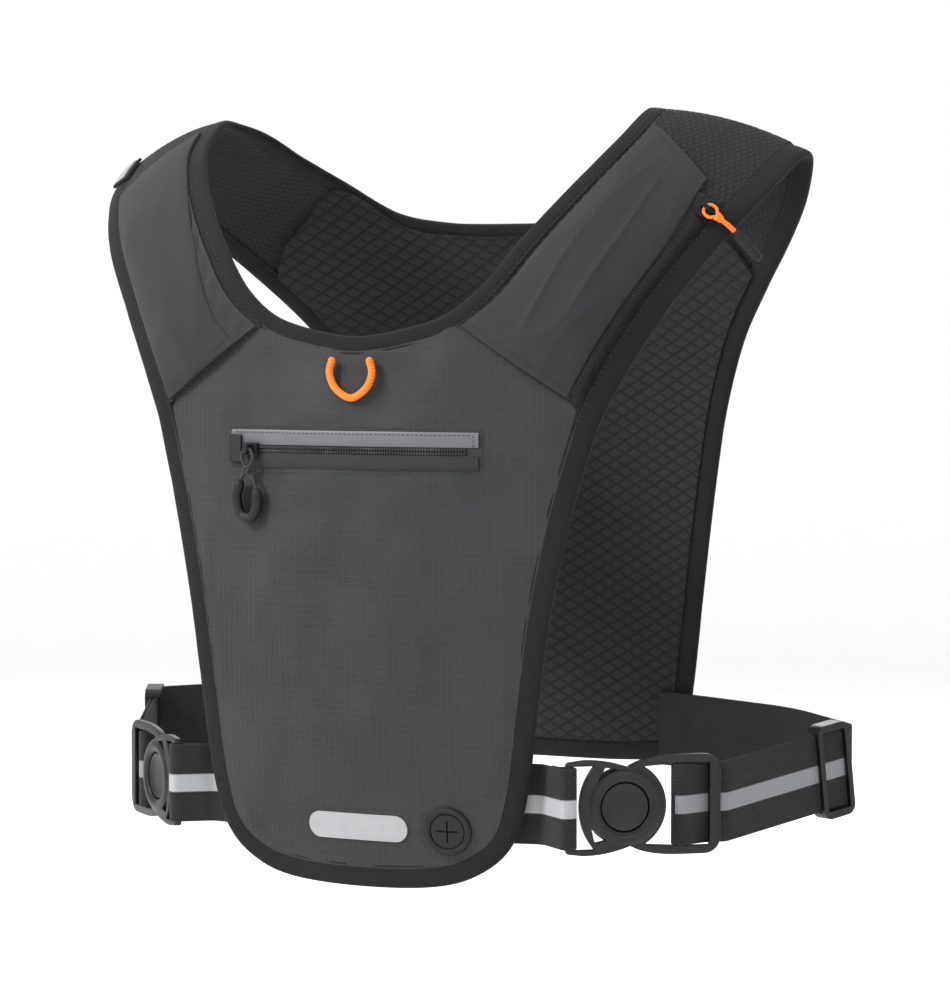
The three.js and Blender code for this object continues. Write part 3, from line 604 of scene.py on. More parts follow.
    def neck_lines(self, spacing: float = 2.0) -> tuple[Points, Points]:
        """The neck opening's edge as a closed loop, and the outer side of its binding.

        Args:
            spacing: distance between points.

        Returns:
            Points on the edge and the matching points one binding width away.
        """
        down_front = np.array([0.021, *(np.arange(1, 6) / 6)])
        down_back = np.array([0.021, 0.25, 0.5, 0.75, 1.0])
        flip = np.array([-1.0, 1.0, 1.0])

        def loop(inward: float, front_low: Points, back_low: Points) -> Line:
            """A closed line round the neck.

            Args:
                inward: distance in from the straps' neck edge.
                front_low: its places on the front from +X to the middle, as x and z.
                back_low: the same on the back.

            Returns:
                The line.
            """
            front = np.vstack([self.strap(inward, down_front), self.on_front(front_low[:-1])])
            back = np.vstack([self.strap(inward, -down_back), self.on_back(back_low[:-1])])
            middle_front, middle_back = self.on_front(front_low[-1:]), self.on_back(back_low[-1:])
            return Line(np.vstack([front, middle_front, front[::-1] * flip,
                                   back * flip, middle_back, back[::-1]]), closed=True)

        edge = loop(0.0, np.array([(45, -98), (24, -104.5), (0, -108)]),
                    np.array([(60, -45), (34, -50), (0, -51)]))
        outer = loop(self.neck_width, np.array([(49, -106.5), (26, -113.3), (0, -117)]),
                     np.array([(56, -53.6), (32, -58.8), (0, -60)]))
        t = np.linspace(0, 1, 900)
        edge, outer = resample(edge.at(t), spacing, outer.at(t))
        return soften_loop(edge[:-1], 3), soften_loop(outer[:-1], 3)

    def panel(self, outline: Line, top_half: Sequence[Pair], start: float, corner: float,
              inset: float, size: tuple[int, int]) -> Points:
        """Places inside a panel's bound edge, as x and z.

        Args:
            outline: the panel's sides and hem.
            top_half: its top edge from its +X corner to the middle.
            start: share of the outline where the top edge begins.
            corner: share of the outline where the grid's lower corner lies.
            inset: distance in from the outline.
            size: how many points across and up.

        Returns:
            A grid of places, from -X to +X and from the hem up.
        """
        u, v = np.linspace(0, 1, size[0]), np.linspace(0, 1, size[1])

        def edge(shares: Points) -> Points:
            """Points of the outline, moved in."""
            return self.inset(outline, shares, inset)

        ends = edge(np.array([1 - start, start]))
        right = np.array(top_half, float)
        left = right * np.array([-1.0, 1.0])
        top = Line(np.vstack([ends[0], left, right[-2::-1], ends[1]]), even=True).at(u)
        bottom = edge(1 - corner + (2 * corner - 1) * u)
        low_x = edge(1 - corner + (corner - start) * v)
        high_x = edge(corner + (start - corner) * v)
        uu, vv = u[:, None, None], v[None, :, None]
        grid = bottom[:, None] * (1 - vv) + top[:, None] * vv + low_x[None] * (1 - uu) + high_x[None] * uu
        corners = (bottom[0] * (1 - uu) * (1 - vv) + bottom[-1] * uu * (1 - vv)
                   + top[0] * (1 - uu) * vv + top[-1] * uu * vv)
        return grid - corners


# ---------------------------------------------------------------------------- shader nodes

class Wire:
    """A number that leaves a node, written in sums like any other."""

    def __init__(self, shade: Shade, socket: bpy.types.NodeSocket) -> None:
        """Args:
            shade: the material being made.
            socket: the output that carries the number.
        """
        self.shade = shade
        self.socket = socket

    def math(self, operation: str, *others: Wire | float) -> Wire:
        """The result of a Math node on this number and others."""
        return self.shade.math(operation, self, *others)

    def __add__(self, other: Wire | float) -> Wire:
        """Sum."""
        return self.math("ADD", other)

    __radd__ = __add__

    def __mul__(self, other: Wire | float) -> Wire:
        """Product."""
        return self.math("MULTIPLY", other)

    __rmul__ = __mul__

    def __sub__(self, other: Wire | float) -> Wire:
        """Difference."""
        return self.math("SUBTRACT", other)

    def __rsub__(self, other: float) -> Wire:
        """Difference, the other way round."""
        return self.shade.math("SUBTRACT", other, self)

    def __truediv__(self, other: Wire | float) -> Wire:
        """Quotient."""
        return self.math("DIVIDE", other)

    def __pow__(self, other: float) -> Wire:
        """Power."""
        return self.math("POWER", other)

    def band(self, low: float, high: float) -> Wire:
        """0 below low, 1 above high and smooth between."""
        node = self.shade.node("ShaderNodeMapRange", {"interpolation_type": "SMOOTHSTEP"},
                               {"Value": self, "From Min": low, "From Max": high})
        return Wire(self.shade, node.outputs["Result"])

    def fold(self, pitch: float) -> Wire:
        """Distance from the middle of a repeat, from 0 there to 1 at its borders."""
        return ((self / pitch).math("FRACT") - 0.5).math("ABSOLUTE") * 2.0


class Shade:
    """The nodes of one material."""

    def __init__(self, name: str) -> None:
        """Args:
            name: the material's name.
        """
        self.material = bpy.data.materials.new(name)
        self.material.use_nodes = True
        self.nodes = self.material.node_tree.nodes
        self.links = self.material.node_tree.links
        self.nodes.clear()

    def node(self, kind: str, settings: dict | None = None, sockets: dict | None = None) -> bpy.types.Node:
        """Adds a node.

        Args:
            kind: Blender's name for the node's type.
            settings: its options, set before its sockets.
            sockets: values or links of its inputs, by name or by number.

        Returns:
            The node.
        """
        node = self.nodes.new(kind)
        for option, value in (settings or {}).items():
            setattr(node, option, value)
        for key, value in (sockets or {}).items():
            target = node.inputs[key]
            if isinstance(value, Wire):
                self.links.new(value.socket, target)
            elif isinstance(value, bpy.types.NodeSocket):
                self.links.new(value, target)
            else:
                target.default_value = value
        return node

    def math(self, operation: str, *values: Wire | float) -> Wire:
        """The result of a Math node on some numbers."""
        node = self.node("ShaderNodeMath", {"operation": operation}, dict(enumerate(values)))
        return Wire(self, node.outputs[0])

    def cloth_place(self) -> tuple[Wire, Wire]:
        """The place on the cloth, in metres along it and across it."""
        uv = self.node("ShaderNodeUVMap", {"uv_map": UV_NAME})
        parts = self.node("ShaderNodeSeparateXYZ", None, {0: uv.outputs["UV"]})
        return Wire(self, parts.outputs[0]), Wire(self, parts.outputs[1])

    def noise(self, scale: float, detail: float = 3.0) -> Wire:
        """Uneven cloudiness in the object's own space, about 0.5."""
        place = self.node("ShaderNodeTexCoord")
        node = self.node("ShaderNodeTexNoise", None,
                         {"Vector": place.outputs["Object"], "Scale": scale, "Detail": detail})
        return Wire(self, node.outputs[0])

    def mix(self, factor: Wire | float, first: str, second: str) -> bpy.types.NodeSocket:
        """A colour between two, given by their codes."""
        return self.blend(factor, linear(first), linear(second))

    def blend(self, factor: Wire | float, first: object, second: object) -> bpy.types.NodeSocket:
        """A colour between two, each a colour or a socket."""
        node = self.node("ShaderNodeMix", {"data_type": "RGBA"}, {0: factor, 6: first, 7: second})
        return node.outputs[2]

    def bump(self, height: Wire, depth_mm: float) -> bpy.types.NodeSocket:
        """A normal from a height between 0 and 1."""
        node = self.node("ShaderNodeBump", None,
                         {"Height": height, "Distance": depth_mm * MM, "Strength": 1.0})
        return node.outputs["Normal"]

    def surface(self, **sockets: object) -> bpy.types.Material:
        """Closes the material with its surface shader, its inputs given by name with _ for a space."""
        values = {key.replace("_", " "): value for key, value in sockets.items()}
        shader = self.node("ShaderNodeBsdfPrincipled", None, values)
        self.node("ShaderNodeOutputMaterial", None, {"Surface": shader.outputs["BSDF"]})
        return self.material


def linear(code: str) -> tuple[float, float, float, float]:
    """A shader's colour from the usual six-figure code."""
    values = [int(code[k:k + 2], 16) / 255 for k in (0, 2, 4)]
    return (*[v / 12.92 if v <= 0.04045 else ((v + 0.055) / 1.055) ** 2.4 for v in values], 1.0)


# ---------------------------------------------------------------------------- finishes
class Weave(Enum):
    """How a cloth is made."""

    RIPSTOP = "ripstop"
    STRETCH = "stretch"
    DIAMOND = "diamond"
    RIB = "rib"
    TWILL = "twill"


@dataclass(frozen=True)
class Cloth:
    """A woven or knitted finish."""

    slot: str
    weave: Weave
    dark: str
    light: str
    roughness: float = 0.85
    pitch: float = 3.2
    relief: float = 0.12
    sheen: float = 0.15

    def make(self) -> bpy.types.Material:
        """Builds the nodes.

        Returns:
            The finished material.
        """
        shade = Shade(f"{self.slot} {self.weave.value}")
        u, v = shade.cloth_place()
        pitch = self.pitch * MM
        cloud = shade.noise(38.0)
        if self.weave is Weave.RIPSTOP:
            lines = u.fold(pitch).math("MAXIMUM", v.fold(pitch)).band(0.8, 0.95)
            fine = (u.fold(0.55 * MM) * v.fold(0.55 * MM))
            height = lines * 0.7 + fine * 0.35
            tone = lines * 0.18 + fine * 0.28 + cloud * 0.5 + shade.noise(11.0) * 0.5 - 0.18
        elif self.weave is Weave.STRETCH:
            ribs = (u + v * 0.35).fold(0.9 * MM)
            height = ribs * 0.5 + v.fold(1.1 * MM) * 0.5
            tone = height * 0.45 + cloud * 0.5
        elif self.weave is Weave.DIAMOND:
            a = u / (pitch * 1.75) + v / pitch
            b = u / (pitch * 1.75) - v / pitch
            cell = (1.0 - a.fold(1.0)).math("MINIMUM", 1.0 - b.fold(1.0)).band(0.06, 0.42)
            fine = ((u + v).fold(1.1 * MM)).math("MAXIMUM", (u - v).fold(1.1 * MM)).band(0.45, 0.9)
            height = cell * 0.8 + fine * 0.25
            tone = cell * 0.6 + fine * 0.3 + cloud * 0.15 - 0.05
        elif self.weave is Weave.RIB:
            ribs = u.fold(pitch).band(0.1, 0.9)
            height = ribs * 0.7 + (v + u * 0.4).fold(0.7 * MM) * 0.3
            tone = height * 0.6 + cloud * 0.35
        else:
            twill = (u + v).fold(pitch)
            height = twill * 0.6 + (v - u * 0.3).fold(pitch * 0.6) * 0.4
            tone = height * 0.6 + cloud * 0.35
        worn = shade.noise(9.0, 5.0).band(0.42, 0.72)
        return shade.surface(
            Base_Color=shade.mix(tone.math("MINIMUM", 1.0).math("MAXIMUM", 0.0), self.dark, self.light),
            Roughness=worn * 0.08 + (self.roughness - 0.04),
            Normal=shade.bump(height, self.relief),
            Sheen_Weight=self.sheen, Sheen_Roughness=0.5, Specular_IOR_Level=0.3)


@dataclass(frozen=True)
class Striped:
    """Webbing with a reflective stripe woven along the middle of its outer face."""

    slot: str = "webbing"
    dark: str = "55565a"
    light: str = "8c8d90"
    middle: float = 19.0
    half_width: float = 4.4

    def make(self) -> bpy.types.Material:
        """Builds the nodes.

        Returns:
            The finished material.
        """
        shade = Shade("webbing with stripe")
        u, v = shade.cloth_place()
        stripe = 1.0 - (v - self.middle * MM).math("ABSOLUTE").band((self.half_width - 0.5) * MM,
                                                                    (self.half_width + 0.2) * MM)
        twill = (u + v * 1.6).fold(1.7 * MM) * 0.6 + (v - u * 0.4).fold(1.1 * MM) * 0.4
        pebble = (u.fold(1.3 * MM) * v.fold(1.3 * MM)) * 0.4 + 0.4
        tone = twill * 0.6 + shade.noise(60.0) * 0.35
        web = shade.mix(tone, "09090a", "28282a")
        grey = shade.mix(pebble, self.dark, self.light)
        height = twill * (1.0 - stripe) + stripe * pebble
        return shade.surface(
            Base_Color=shade.blend(stripe, web, grey), Roughness=0.88 - stripe * 0.4,
            Normal=shade.bump(height, 0.32), Sheen_Weight=0.02, Specular_IOR_Level=0.3)


@dataclass(frozen=True)
class Moulded:
    """Plastic, rubber or coated metal."""

    slot: str
    name: str
    dark: str
    light: str
    roughness: float = 0.42
    grain: float = 0.05
    metallic: float = 0.0

    def make(self) -> bpy.types.Material:
        """Builds the nodes.

        Returns:
            The finished material.
        """
        shade = Shade(self.name)
        fine = shade.noise(2600.0, 2.0)
        rub = shade.noise(70.0, 5.0)
        return shade.surface(
            Base_Color=shade.mix(rub.band(0.3, 0.75), self.dark, self.light),
            Roughness=rub * 0.16 + (self.roughness - 0.08), Normal=shade.bump(fine, self.grain),
            Metallic=self.metallic, Specular_IOR_Level=0.32)


@dataclass(frozen=True)
class Reflector:
    """Grey reflective tape with its fine bead pattern."""

    slot: str = "reflective"

    def make(self) -> bpy.types.Material:
        """Builds the nodes.

        Returns:
            The finished material.
        """
        shade = Shade("reflective tape")
        u, v = shade.cloth_place()
        bead = ((u + v * 0.5).fold(1.1 * MM) * v.fold(0.95 * MM)) ** 0.7
        tone = bead * 0.6 + shade.noise(120.0) * 0.4
        return shade.surface(Base_Color=shade.mix(tone, "7f8082", "a3a4a6"), Roughness=0.55 - bead * 0.2,
                             Normal=shade.bump(bead, 0.05), Metallic=0.15, Specular_IOR_Level=0.6)


@dataclass(frozen=True)
class Braid:
    """Braided cord."""

    slot: str
    dark: str
    light: str
    pitch: float = 1.5

    def make(self) -> bpy.types.Material:
        """Builds the nodes.

        Returns:
            The finished material.
        """
        shade = Shade(f"{self.slot} braid")
        u, v = shade.cloth_place()
        one = (u + v * 0.9).fold(self.pitch * MM)
        two = (u - v * 0.9).fold(self.pitch * MM)
        strand = (1.0 - one).math("MAXIMUM", 1.0 - two)
        return shade.surface(Base_Color=shade.mix(strand * 0.8 + 0.2, self.dark, self.light), Roughness=0.72,
                             Normal=shade.bump(strand, 0.1), Sheen_Weight=0.05, Specular_IOR_Level=0.35)


class Finish(Enum):
    """Every finish of the vest."""

    RIPSTOP = Cloth("ripstop", Weave.RIPSTOP, "101112", "323334", 0.66, 3.2, 0.14, 0.04)
    # Painted highlight: a lighter copy of the stretch cloth for the upper zip tape, which catches the light
    # from above; the lower tape keeps the plain stretch.
    TAPE = Cloth("ripstop", Weave.STRETCH, "444547", "66676a", 0.5, 1.0, 0.06, 0.1)
    STRETCH = Cloth("stretch", Weave.STRETCH, "19191a", "2c2c2e", 0.86, 1.0, 0.08, 0.04)
    # Painted shade: a darker copy of the stretch cloth, for the shadowed arm-side gusset of the left flap and
    # for the coil tapes under the zip teeth and the flap.
    GUSSET = Cloth("stretch", Weave.STRETCH, "0e0e0f", "1b1b1c", 0.9, 1.0, 0.08, 0.02)
    MESH = Cloth("mesh", Weave.DIAMOND, "0b0b0c", "262628", 0.92, 6.5, 0.5, 0.02)
    STRAP_MESH = Cloth("mesh", Weave.DIAMOND, "0c0c0d", "222224", 0.92, 3.4, 0.4, 0.02)
    BINDING = Cloth("binding", Weave.RIB, "060607", "131314", 0.93, 1.0, 0.12, 0.02)
    THREAD = Cloth("binding", Weave.TWILL, "161617", "2c2c2e", 0.7, 0.5, 0.02, 0.03)
    WEBBING = Cloth("webbing", Weave.TWILL, "0f0f10", "202022", 0.88, 1.5, 0.16, 0.02)
    STRIPED = Striped()
    # Painted highlight: a lighter copy of the striped webbing, for the front webbing's stripe catching the
    # light.
    BRIGHT_STRIPED = Striped("webbing", "7e7f82", "a9aaac")
    REFLECTIVE = Reflector()
    PLASTIC = Moulded("plastic", "moulded plastic", "070708", "101011", 0.4, 0.03)
    # Painted shade: the pocket zip's teeth are a darker copy of the chest zip's teeth, for the flap's shadow
    # over them.
    TEETH = Moulded("plastic", "pocket zip teeth", "0a0a0b", "161617", 0.45, 0.01)
    ZIP_TEETH = Moulded("plastic", "chest zip teeth", "242426", "48484b", 0.4, 0.01)
    RUBBER = Moulded("rubber", "moulded rubber", "090909", "121213", 0.6, 0.05)
    METAL = Moulded("metal", "coated metal", "161718", "2c2d2f", 0.34, 0.02, 0.6)
    ORANGE = Braid("orange_cord", "b8480a", "f07a1f")
    THIN_CORD = Braid("pull_cord", "0e0e0f", "29292b", 1.2)


MATERIALS: dict[Finish, bpy.types.Material] = {}


def material(finish: Finish) -> bpy.types.Material:
    """The material of a finish, made once."""
    if finish not in MATERIALS:
        MATERIALS[finish] = finish.value.make()
    return MATERIALS[finish]


def dress(piece: Piece, finish: Finish, body: str | None, replaces: Iterable[str] = ()) -> Piece:
    """Gives a piece its finish and its body.

    Args:
        piece: the finished mesh object.
        finish: what it is made of.
        body: the body it moves with, or None for cloth that crosses the shoulders.
        replaces: names of the CAD nodes that it stands for.

    Returns:
        The same piece.
    """
    piece.data.materials.clear()
    piece.data.materials.append(material(finish))
    if body is None:
        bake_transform(piece)
    else:
        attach(piece, body)
    if replaces:
        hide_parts(*replaces)
    log.info("%s: %d faces", piece.name, len(piece.data.polygons))
    return piece


def dress_node(name: str, finish: Finish, bevel: float = 0.3) -> None:
    """Gives a CAD node its finish and breaks its edges.

    Args:
        name: the node.
        finish: what it is made of.
        bevel: width of the broken edge, in millimetres.
    """
    node = bpy.data.objects[name]
    for slot in node.material_slots:
        slot.material = material(finish)
    weld = node.modifiers.new("weld", "WELD")
    weld.merge_threshold = WELD
    if bevel:
        edge = node.modifiers.new("edge", "BEVEL")
        edge.width = bevel * MM
        edge.segments = 2
        edge.limit_method = "ANGLE"
        edge.angle_limit = math.radians(35)
        edge.harden_normals = True


# ---------------------------------------------------------------------------- stitches and teeth
@dataclass(frozen=True)
class Row:
    """Small equal bodies set along lines by a Geometry Nodes tree."""

    spacing: float = 2.8
    length: float = 2.0
    thickness: float = 0.55
    across: tuple[float, float, float] | None = None

    def tree(self, finish: Finish) -> bpy.types.GeometryNodeTree:
        """The tree: points along each line, a small body on each, made real.

        Args:
            finish: what the bodies are made of.

        Returns:
            A node tree with the row's sizes as its inputs.
        """
        tree = bpy.data.node_groups.new("row", "GeometryNodeTree")
        face = tree.interface
        face.new_socket("Geometry", in_out="INPUT", socket_type="NodeSocketGeometry")
        for label in ("Spacing", "Length", "Thickness"):
            face.new_socket(label, in_out="INPUT", socket_type="NodeSocketFloat")
        face.new_socket("Geometry", in_out="OUTPUT", socket_type="NodeSocketGeometry")
        add = tree.nodes.new
        start, end = add("NodeGroupInput"), add("NodeGroupOutput")
        curve, points = add("GeometryNodeMeshToCurve"), add("GeometryNodeCurveToPoints")
        points.mode = "LENGTH"
        body, place = add("GeometryNodeMeshIcoSphere"), add("GeometryNodeInstanceOnPoints")
        body.inputs["Radius"].default_value = 0.5
        body.inputs["Subdivisions"].default_value = 1 if self.across is None else 2
        size, real = add("ShaderNodeCombineXYZ"), add("GeometryNodeRealizeInstances")
        paint = add("GeometryNodeSetMaterial")
        paint.inputs["Material"].default_value = material(finish)
        link = tree.links.new
        link(start.outputs["Geometry"], curve.inputs[0])
        link(curve.outputs[0], points.inputs["Curve"])
        link(start.outputs["Spacing"], points.inputs["Length"])
        link(points.outputs["Points"], place.inputs["Points"])
        link(body.outputs["Mesh"], place.inputs["Instance"])
        if self.across is None:
            link(points.outputs["Rotation"], place.inputs["Rotation"])
        else:
            turn = add("FunctionNodeAlignRotationToVector")
            turn.axis = "Z"
            turn.inputs["Vector"].default_value = self.across
            link(turn.outputs[0], place.inputs["Rotation"])
        link(start.outputs["Thickness"], size.inputs[0])
        link(start.outputs["Thickness"], size.inputs[1])
        link(start.outputs["Length"], size.inputs[2])
        link(size.outputs[0], place.inputs["Scale"])
        link(place.outputs[0], real.inputs[0])
        link(real.outputs[0], paint.inputs["Geometry"])
        link(paint.outputs[0], end.inputs[0])
        return tree

    def make(self, name: str, lines: Sequence[Points], finish: Finish, body: str | None,
             replaces: Iterable[str] = ()) -> Piece:
        """Sets the bodies along lines.

        Args:
            name: the piece's name.
            lines: points of each line, in millimetres.
            finish: what the row is made of.
            body: the body it moves with, or None across the shoulders.
            replaces: CAD nodes that it stands for.

        Returns:
            The row as one plain mesh.
        """
        verts, edges = [], []
        for line in lines:
            first = len(verts)
            verts += (np.asarray(line) * MM).tolist()
            edges += [(k, k + 1) for k in range(first, len(verts) - 1)]
        path = bpy.data.meshes.new(name)
        path.from_pydata(verts, edges, [])
        piece = put(name, path)
        modifier = piece.modifiers.new("row", "NODES")
        modifier.node_group = self.tree(finish)
        values = {"Spacing": self.spacing, "Length": self.length, "Thickness": self.thickness}
        for socket in modifier.node_group.interface.items_tree:
            if socket.in_out == "INPUT" and socket.name in values:
                modifier[socket.identifier] = values[socket.name] * MM
        bpy.context.view_layer.update()
        done = bpy.data.meshes.new_from_object(piece.evaluated_get(bpy.context.evaluated_depsgraph_get()))
        piece.modifiers.remove(modifier)
        piece.data = done
        done.shade_smooth()
        return dress(piece, finish, body, replaces)


BAIL_HIGH = 3.5
THIN_RADIUS = 0.8
STITCH = Row()
FINE_STITCH = Row(2.3, 1.7, 0.45)


# ---------------------------------------------------------------------------- cloth of the vest
@dataclass
class Bindings:
    """Folded binding round the vest's outer edge and round the neck."""

    shape: VestShape = field(default_factory=VestShape)
    thick: float = 2.0
    seam: Pair = (0.82, 0.8)

    def fold(self, name: str, edge: Points, inner: Points, replaces: list[str]) -> None:
        """One folded binding.

        Args:
            name: the piece's name.
            edge: the closed line of its fold.
            inner: matching points of its sewn edges.
            replaces: CAD nodes that it stands for.
        """
        ahead = unit(np.roll(edge, -1, axis=0) - np.roll(edge, 1, axis=0))
        across = inner - edge
        normal = unit(np.cross(ahead, across))
        along = lengths_along(edge)
        loose = 1 + 0.12 * np.sin(along / 7.3) * np.sin(along / 17.0 + 1) + 0.05 * np.sin(along / 3.1)
        half = [(0.0, 0.0), (0.03, 0.55), (0.1, 0.84), (0.22, 0.97), (0.42, 1.0), (0.62, 0.97), (0.76, 0.9),
                (0.82, 0.74), (0.87, 0.86), (0.95, 0.84), (0.99, 0.66), (1.0, 0.3)]
        profile = half + [(w, -h) for w, h in half[:0:-1]]
        rings = np.stack([edge + across * w + normal * (h * self.thick * np.minimum(loose, 1.0))[:, None]
                          for w, h in profile], axis=1)
        dress(sweep(name, rings, True), Finish.BINDING, None, replaces)
        inward, raised = self.seam
        seams = [edge + across * inward + normal * (self.thick * raised * side) for side in (1, -1)]
        STITCH.make(f"{name}_stitches", [np.vstack([line, line[:1]]) for line in seams], Finish.THREAD, None)

    def build(self) -> None:
        """Both bindings."""
        sides = ("left", "right")
        arms = [f"armhole_binding_{face}_{side}" for face in ("front", "back") for side in sides]
        self.fold("edge_binding", *self.shape.edge_lines(),
                  [*arms, "hem_binding_front", "hem_binding_back"])
        self.fold("neck_binding", *self.shape.neck_lines(), ["neck_binding_front", "neck_binding_back"])


@dataclass
class StrapMesh:
    """Spacer mesh of the shoulder straps, in one piece over each shoulder."""

    shape: VestShape = field(default_factory=VestShape)
    half_thick: float = 1.3
    neck_in: float = 8.5
    arm_in: float = 10.5
    relief: float = 0.25
    diamond: Pair = (6.0, 3.4)

    def build(self) -> None:
        """Both straps' mesh."""
        share = np.concatenate([np.linspace(-0.99, 0, 84), np.linspace(0, 0.999, 150)[1:]])
        for side, word in ((Side.LEFT, "left"), (Side.RIGHT, "right")):
            width = self.shape.edges(share)[2]
            u = np.linspace(0, 1, 44)
            inward = self.neck_in + (width - self.arm_in - self.neck_in)[:, None] * u[None]
            grid = self.shape.strap(inward, share[:, None] * np.ones_like(u)[None], side)
            high = self.half_thick - self.relief + self.relief * weave_relief(grid, self.diamond)
            piece = slab(f"strap_mesh_{word}", grid, -self.half_thick, high)
            dress(piece, Finish.STRAP_MESH, None, [f"strap_mesh_front_{word}", f"strap_mesh_back_{word}"])


def weave_relief(grid: Points, diamond: Pair, flat: bool = False) -> Points:
    """Height of a diamond mesh over a grid.

    Args:
        grid: points by rows and columns.
        diamond: width and height of one cell, in millimetres.
        flat: the threads run straight across and up, whatever the grid does.

    Returns:
        0 in the mesh's lines and up to 1 in its cells.
    """
    place = cloth_places(grid, flat) / np.array(diamond)
    a, b = place[..., 0] + place[..., 1], place[..., 0] - place[..., 1]
    return np.abs(np.sin(np.pi * a) * np.sin(np.pi * b)) ** 0.5


def still_rim(grid: Points) -> Points:
    """How free the cloth is at each point of a grid: 0 at its bound border and 1 inside."""
    u = np.linspace(0, 1, grid.shape[0])[:, None]
    v = np.linspace(0, 1, grid.shape[1])[None]
    return smoothstep(0.0, 0.08, np.minimum(np.minimum(u, 1 - u), np.minimum(v, 1 - v)))


def declare_sheet(piece: Piece, grid: Points) -> None:
    """Args:
        piece: the finished cloth.
        grid: points of its surface, by rows and columns.
    """
    width = max(float(lengths_along(grid[:, j])[-1]) for j in range(grid.shape[1])) * MM
    height = max(float(lengths_along(grid[i])[-1]) for i in range(grid.shape[0])) * MM
    du, dv = np.gradient(grid, axis=0), np.gradient(grid, axis=1)
    area = float(np.linalg.norm(np.cross(du, dv), axis=-1)[:-1, :-1].sum()) * MM * MM
    log.info("%s is cut %.0f by %.0f mm, %.4f square metres", piece.name, width / MM, height / MM, area)


@dataclass
class Panels:
    """Front pocket panel, back panel and their mesh linings."""

    shape: VestShape = field(default_factory=VestShape)
    cloth: float = 1.4
    out: float = 0.2
    lining_out: float = -0.5
    lining: float = 2.6
    under: float = 2.4
    diamond: Pair = (11.4, 6.5)
    mesh_deep: float = 0.8
    crease_deep: float = 2.2
    back_crease_deep: float = 0.7
    zip_place: Pair = (-2.5, -161.5)
    trim_place: Pair = (12.0, -339.5)

    def grids(self, size: tuple[int, int]) -> tuple[Points, Points]:
        """Surfaces of the front and of the back inside their bindings.

        Args:
            size: how many points across and up.

        Returns:
            The front's grid and the back's.
        """
        shape, inset = self.shape, self.shape.edge_width - self.under
        front_top = [(97, -127), (74, -112), (50, -99.5), (26, -109.5), (0, -113)]
        back_top = [(126, -61), (108, -46), (88, -31), (58, -50), (33, -55), (0, -56)]
        front = shape.panel(shape.front_outline, front_top, 0.001, 0.37, inset, size)
        back = shape.panel(shape.back_outline, back_top, 0.001, 0.4, inset, size)
        return shape.on_front(front), shape.on_back(back)

    def pucker(self, grid: Points, seed: int, deep: float) -> Points:
        """Creases of sewn cloth: long soft waves, stronger towards the edges.

        Args:
            grid: points by rows and columns.
            seed: picks the waves.
            deep: height of the creases, in millimetres.

        Returns:
            One height for each point.
        """
        x, z = grid[..., 0], grid[..., 2]
        nu, nv = x.shape
        edge = np.minimum.outer(np.minimum(np.arange(nu), nu - 1 - np.arange(nu)) / nu,
                                np.minimum(np.arange(nv), nv - 1 - np.arange(nv)) / nv)
        rim = 1 - smoothstep(0.02, 0.16, edge)
        hold = smoothstep(0.02, 0.13, edge)
        soft = ripple(x, z * 0.6, 46, seed) * 0.6 + ripple(x * 1.3, z, 19, seed + 1) * 0.22 * (0.5 + rim)
        return soft * deep * hold

    def build(self) -> None:
        """All four."""
        front, back = self.grids((120, 100))
        piece = slab("front_pocket_cloth", front, self.out, self.pocket_face(front), True)
        dress(piece, Finish.RIPSTOP, "front", ["front_panel"])
        declare_sheet(piece, front)
        high = self.out + self.cloth * 0.7 + self.pucker(back, 11, self.back_crease_deep)
        piece = slab("back_cloth", back, self.out, high, True)
        dress(piece, Finish.STRETCH, "back", ["back_panel"])
        declare_sheet(piece, back)
        front, back = self.grids((128, 150))
        for word, grid in (("front", front), ("back", back)):
            relief = 1 - weave_relief(grid, self.diamond, True)
            low = self.lining_out - self.lining + self.mesh_deep * relief
            piece = slab(f"{word}_mesh_lining", grid, low, self.lining_out, True)
            dress(piece, Finish.MESH, word, [f"{word}_lining"])
            declare_sheet(piece, grid)

    def pocket_face(self, grid: Points) -> Points:
        """Height of the front pocket's cloth, which lies flat under the zip and the lower trim.

        Args:
            grid: points by rows and columns.

        Returns:
            One height for each point.
        """
        x, z = grid[..., 0], grid[..., 2]
        (zip_x, zip_z), (trim_x, trim_z) = self.zip_place, self.trim_place
        still = np.maximum(np.exp(-((x - zip_x) / 76) ** 8 - ((z - zip_z) / 13) ** 4),
                           np.exp(-((x - trim_x) / 56) ** 6 - ((z - trim_z) / 12) ** 4))
        crease = (self.pucker(grid, 3, self.crease_deep) + 0.5) * (1 - still) * still_rim(grid)
        rest = self.out + self.cloth
        return np.maximum(rest + self.shape.swell(x, z) + crease, rest - 0.25)


